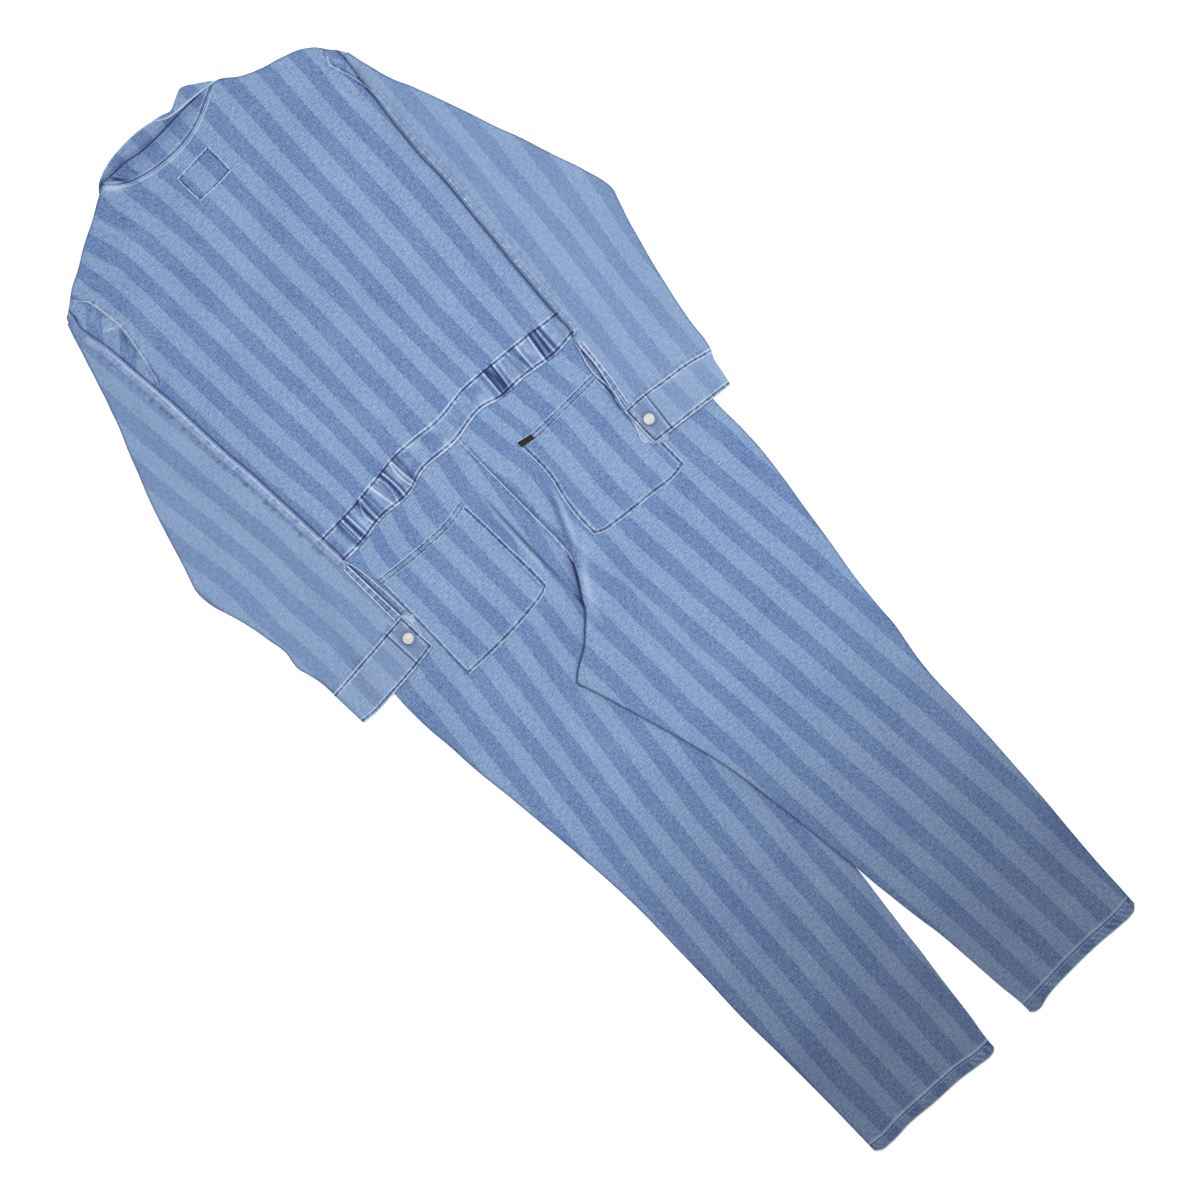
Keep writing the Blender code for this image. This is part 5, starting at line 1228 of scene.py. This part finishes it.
# radius and height of the button's half profile: a domed face with a raised rim and one ring, over
# a short shank
BUTTON_PROFILE = [
    (0.0, 2.75), (1.6, 2.7), (2.6, 2.5), (3.1, 2.3), (3.5, 2.45), (4.2, 2.5), (4.9, 2.25),
    (5.3, 2.05), (5.7, 2.3), (6.3, 2.45), (6.8, 2.2), (7.0, 1.7), (6.9, 1.2), (6.4, 0.9),
    (3.5, 0.8), (2.9, 0.5), (2.9, 0.0), (0.0, 0.0),
]
BUTTON_SIDES = 48
denim_cuff = denim("worn_cuff_denim", rgb(132, 155, 188), rgb(118, 141, 178),
                   ((0.4, 1.1, 0.95), (2.8, 0.9, -0.9), (5.0, 0.9, 0.5)))
metal = Look("cast_button_metal")
spot = metal.noise(metal.on_object(), 900.0, 3.0, 0.6)
button_metal = metal.finish(
    Base_Color=metal.mix(spot, rgb(140, 138, 132), rgb(222, 221, 216)), Metallic=0.15,
    Roughness=metal.noise(metal.on_object(), 400.0, 2.0) * 0.3 + 0.25)

for name, cuff in (("left", LEFT_CUFF), ("right", RIGHT_CUFF)):
    top = moved(SLEEVES[name][3], -SEAM_GAP)
    left, right = cuff["left"], cuff["right"]
    x, y = panel(left, right, top, cuff["end"], fit(125, 2.0, 1.0), fit(50, 2.0, 1.0, 6.0))
    inner_edge = right if name == "left" else left
    seam, run = to_edges(x, y, [inner_edge], [top, cuff["end"]])
    lap = (x - cuff["lap"](y)) * (1 if name == "left" else -1)
    z = sleeve_bed(x, y) + 1.9 + 0.7 * rolled(x, y, left, right) + uneven(x, y, 51, 22, 0.12)
    z = z + 0.4 * rolled(y, x, cuff["end"], top, 4)
    x0, y0 = cuff["button"]
    # painted: the lapping edge's shadow and highlight line through the gap, and the button's shadow in a
    # ring round it; a little darker on the lapped side
    piece = cloth(f"cuff_{name}", x, y, z, cuff["stripes"], [f"cuff_{name}_upper"], denim_cuff,
                  "denim_seam", 1.4, seam=seam, run=run, gap=3.0 - lap,
                  shade=stroke(np.hypot(x - x0, y - y0) - 8.0, 3.0, 0.3) + 0.12 * soft_step(lap, 1, 4))
    nearest = np.argmin((x - x0) ** 2 + (y - y0) ** 2)
    seat = float(z.ravel()[nearest]) + 1.5
    radius, height = np.array(BUTTON_PROFILE).T[:, :, None]
    turn = np.linspace(0, 2 * math.pi, BUTTON_SIDES, endpoint=False)
    shape = np.stack([radius * np.cos(turn) + x0, radius * np.sin(turn) + y0,
                      height + seat + 0 * turn], axis=-1).reshape(-1, 3)
    faces = [(ring + side, ring + BUTTON_SIDES + side, ring + BUTTON_SIDES + (side + 1) % BUTTON_SIDES,
              ring + (side + 1) % BUTTON_SIDES)
             for ring in range(0, len(shape) - BUTTON_SIDES, BUTTON_SIDES)
             for side in range(BUTTON_SIDES)]
    button = mesh_object(f"button_{name}", shape, faces, button_metal)
    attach(button, "root")
    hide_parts(f"cuff_{name}_button")
    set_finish(button, "button_metal")
    laid(x, y)
    x, y = panel(moved(left, 1.5), moved(right, -1.5), top, moved(cuff["end"], 1.5), fit(122, 6),
                 fit(48, 6))
    cloth(f"cuff_{name}_below", x, y, sleeve_bed(x, y), cuff["stripes"], [f"cuff_{name}_under"],
          denim_seam, "denim_seam", 1.4, rests_on=["bodice", "floor"])
    leaf_left, leaf_right, leaf_top, leaf_end = cuff["leaf"]
    x, y = panel(leaf_left, leaf_right, level(leaf_top), level(leaf_end), fit(8, 0.8),
                 fit(leaf_top - leaf_end, 0.8))
    seam, run = to_edges(x, y, [leaf_right if name == "left" else leaf_left])
    # the leaf is painted lighter, as lit
    cloth(f"cuff_{name}_lap", x, y, sleeve_bed(x, y) + 0.3, cuff["stripes"], [f"cuff_{name}_leaf"],
          denim_seam, "denim_seam", rests_on=[f"trouser_{name}"], seam=seam, run=run, shade=-0.4)


# ---- Stitching -----------------------------------------------------------------------------
# Rows of pale cotton thread along every sewn edge: short stitches standing a little proud of the
# cloth, and the thread knots that bar the tops of the sleeve slits.

STITCH = 2.7            # from one stitch to the next
ABOVE_ALL = 50.0        # from here the cloth's height is looked up
SIDES = 5               # of a stitch
PROUD = 0.05            # of a stitch above the cloth
TAPER = ((-0.5, 0.25), (-0.3, 0.9), (0.3, 0.9), (0.5, 0.25))    # place along a stitch and width there
DOWN = Vector((0.0, 0.0, -1.0))
bpy.context.view_layer.update()
depsgraph = bpy.context.evaluated_depsgraph_get()
surfaces = [BVHTree.FromObject(obj, depsgraph) for obj in bpy.data.objects
            if obj.get("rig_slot") in ("denim_body", "denim_sleeve", "denim_seam")]


def top_of_cloth(x, y):
    """Height of the uppermost cloth at a place."""
    hits = [tree.ray_cast(Vector((x, y, ABOVE_ALL)) * MM, DOWN)[0] for tree in surfaces]
    return max((hit.z for hit in hits if hit is not None), default=0.0) / MM


def across_line(line, start, end, offset=0.0):
    """Points along a line y(x)."""
    x = np.arange(start, end, STITCH)
    return np.stack([x, line(x) + offset], axis=1)


def down_line(line, start, end, offset=0.0):
    """Points along a line x(y)."""
    y = np.arange(start, end, STITCH)
    return np.stack([line(y) + offset, y], axis=1)


def stitching(name, rows, material, length=1.9, width=0.32):
    """One mesh of short rounded stitches along rows of points."""
    ring = [(math.cos(a), math.sin(a)) for a in np.linspace(0, 2 * math.pi, SIDES + 1)[:-1]]
    points, faces = [], []
    for row in rows:
        steps = np.diff(row, axis=0)
        for (x, y), (dx, dy) in zip(row[:-1], steps):
            size = math.hypot(dx, dy)
            dx, dy = dx / size, dy / size
            z = top_of_cloth(x, y)
            start = len(points)
            for t, scale in TAPER:
                for side, up in ring:
                    points.append((x + dx * t * length - dy * side * width * scale,
                                   y + dy * t * length + dx * side * width * scale,
                                   z + PROUD + (up * width + PROUD) * scale))
            for first in range(start, start + 3 * SIDES, SIDES):
                for side in range(SIDES):
                    a, b = first + side, first + (side + 1) % SIDES
                    faces.append((a, b, b + SIDES, a + SIDES))
            faces.append(tuple(range(start + SIDES - 1, start - 1, -1)))
            faces.append(tuple(range(start + 3 * SIDES, start + 4 * SIDES)))
    obj = mesh_object(name, points, faces, material)
    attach(obj, "root")
    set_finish(obj, "denim_seam")


thread = Look("pale_cotton_thread")
fuzz = thread.noise(thread.on_object(), 1600.0, 2.0, 0.6)
thread_look = thread.finish(
    Base_Color=thread.mix(fuzz, rgb(165, 184, 216), rgb(226, 234, 246)), Roughness=0.8,
    Normal=thread.bump(fuzz, 0.5, 0.0003))

stitching("bodice_stitching", [
    across_line(COLLAR_SEAM, -64, 74, -1.0), across_line(COLLAR_SEAM, -62, 72, -3.6),
    down_line(LEFT_ARMHOLE, 545, 662, 1.6), down_line(RIGHT_ARMHOLE, 545, 664, -1.6),
    across_line(PATCH_TOP, -17, 36, -0.4), across_line(PATCH_BOTTOM, -15, 36, 0.4),
    down_line(PATCH_LEFT, 642, 680, 0.4), down_line(PATCH_RIGHT, 642, 682, -0.4),
], thread_look)
stitching("waistband_stitching", [
    across_line(WAIST_TOP, -190, 190, -0.3), across_line(WAIST_BOTTOM, -188, 184, 1.4),
    across_line(WAIST_BOTTOM, -188, 184, 6.2),
], thread_look)
rows = [
    down_line(level(4.7), 30, 219), across_line(LEFT_HEM_SEAM, -231, -48, -1.2),
    across_line(RIGHT_HEM_SEAM, 16, 192, -1.2),
]
for pocket, left_offset, right_end in ((LEFT_POCKET, 3.2, 20), (RIGHT_POCKET, 0.4, 60)):
    left, right, top, bottom = (pocket[edge] for edge in ("left", "right", "top", "bottom"))
    start, end = left(100) + 3, right(100) - 3
    rows = rows + [
        across_line(top, start, end, -0.4), across_line(top, start, end, 0.3 - POCKET_BAND),
        across_line(bottom, start, end, 0.5), down_line(left, 20, 160, left_offset),
        down_line(right, right_end, 160, -0.4),
    ]
stitching("trouser_stitching", rows, thread_look)
rows = [
    down_line(LEFT_SLEEVE_IN, 213, 620, -1.4), down_line(RIGHT_SLEEVE_IN, 213, 430, 5.2),
    down_line(RIGHT_SLEEVE_IN, 213, 400, 8.2),
]
for name, cuff, placket_end, low, high in (("left", LEFT_CUFF, 122, 68, 108),
                                           ("right", RIGHT_CUFF, 110, 53, 100)):
    left, right, placket_top = PLACKETS[name][:3]
    start, end = cuff["left"](90) + 2, cuff["right"](90) - 2
    outward = -1 if name == "left" else 1
    rows = rows + [
        down_line(left, placket_end, placket_top - 2, 0.5),
        down_line(right, placket_end, placket_top - 2, -0.5),
        across_line(SLEEVES[name][3], start, end, -0.6), across_line(cuff["end"], start, end, 0.6),
        down_line(cuff["lap"], low, high, outward * 2.4),
        down_line(cuff["right" if name == "left" else "left"], low, high, outward * 0.6),
    ]
stitching("sleeve_stitching", rows, thread_look)
knots = []
for left_foot, peak, right_foot in (((-202.6, 202.5), (-195.6, 212.8), (-192.6, 202.0)),
                                    ((184.8, 194.6), (190.2, 205.0), (193.6, 196.0))):
    for foot in (left_foot, right_foot):
        share = np.linspace(0, 1, 9)[:, None]
        knots.append(np.array(foot) * (1 - share) + np.array(peak) * share)
stitching("slit_bar_tacks", knots, thread_look, length=1.7, width=0.5)


# ---- Floor, light and camera ---------------------------------------------------------------
# A pale plain surface, one soft light over the back and one from the wearer's right, and a camera
# straight above.

FLOOR = 6000.0          # from the middle to its edges
BELOW_CLOTH = 0.0005    # metres, like all sizes from here on
CAMERA_HEIGHT = 5.0
GARMENT_TURN = 44.4     # degrees that the garment lies slanting in the picture
paper = Look("pale_paper")
speckle = paper.noise(paper.on_object(), 300.0, 2.0)
paper_look = paper.finish(
    Base_Color=paper.mix(speckle, rgb(248, 248, 248), rgb(253, 253, 253)), Roughness=0.9,
    Emission_Color=rgb(255, 255, 255), Emission_Strength=0.4)
floor = mesh_object("floor", [(-FLOOR, -FLOOR, 0), (FLOOR, -FLOOR, 0), (FLOOR, FLOOR, 0),
                              (-FLOOR, FLOOR, 0)], [(0, 1, 2, 3)], paper_look)
floor.location.z = cad_low.z - BELOW_CLOTH
floor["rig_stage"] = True


def softbox(name, place, target, size, power):
    """A round soft light at a place, turned to its target."""
    lamp = bpy.data.lights.new(name, "AREA")
    lamp.shape = "DISK"
    lamp.size = size
    lamp.energy = power
    obj = bpy.data.objects.new(name, lamp)
    bpy.context.scene.collection.objects.link(obj)
    obj.location = place
    obj.rotation_euler = (Vector(target) - Vector(place)).to_track_quat("-Z", "Y").to_euler()


softbox("main_light", (-0.1, 0.35, 1.8), (0.0, 0.1, 0.0), 0.9, 17.6)
softbox("side_light", (1.5, 0.0, 1.7), (0.0, 0.0, 0.0), 1.2, 21.8)
world = bpy.data.worlds.new("studio")
bpy.context.scene.world = world
world.use_nodes = True
world.node_tree.nodes["Background"].inputs["Color"].default_value = (1.0, 1.0, 1.0, 1.0)
world.node_tree.nodes["Background"].inputs["Strength"].default_value = 0.41
bpy.context.scene.view_settings.view_transform = "Standard"

camera_data = bpy.data.cameras.new("camera")
camera_data.lens = 125.0
camera_data.sensor_width = 36.0
camera = bpy.data.objects.new("camera", camera_data)
bpy.context.scene.collection.objects.link(camera)
camera.location = (-0.0087, -0.03574, CAMERA_HEIGHT)
camera.rotation_euler = (0.0, 0.0, math.radians(-GARMENT_TURN))
bpy.context.scene.camera = camera

low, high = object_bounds()
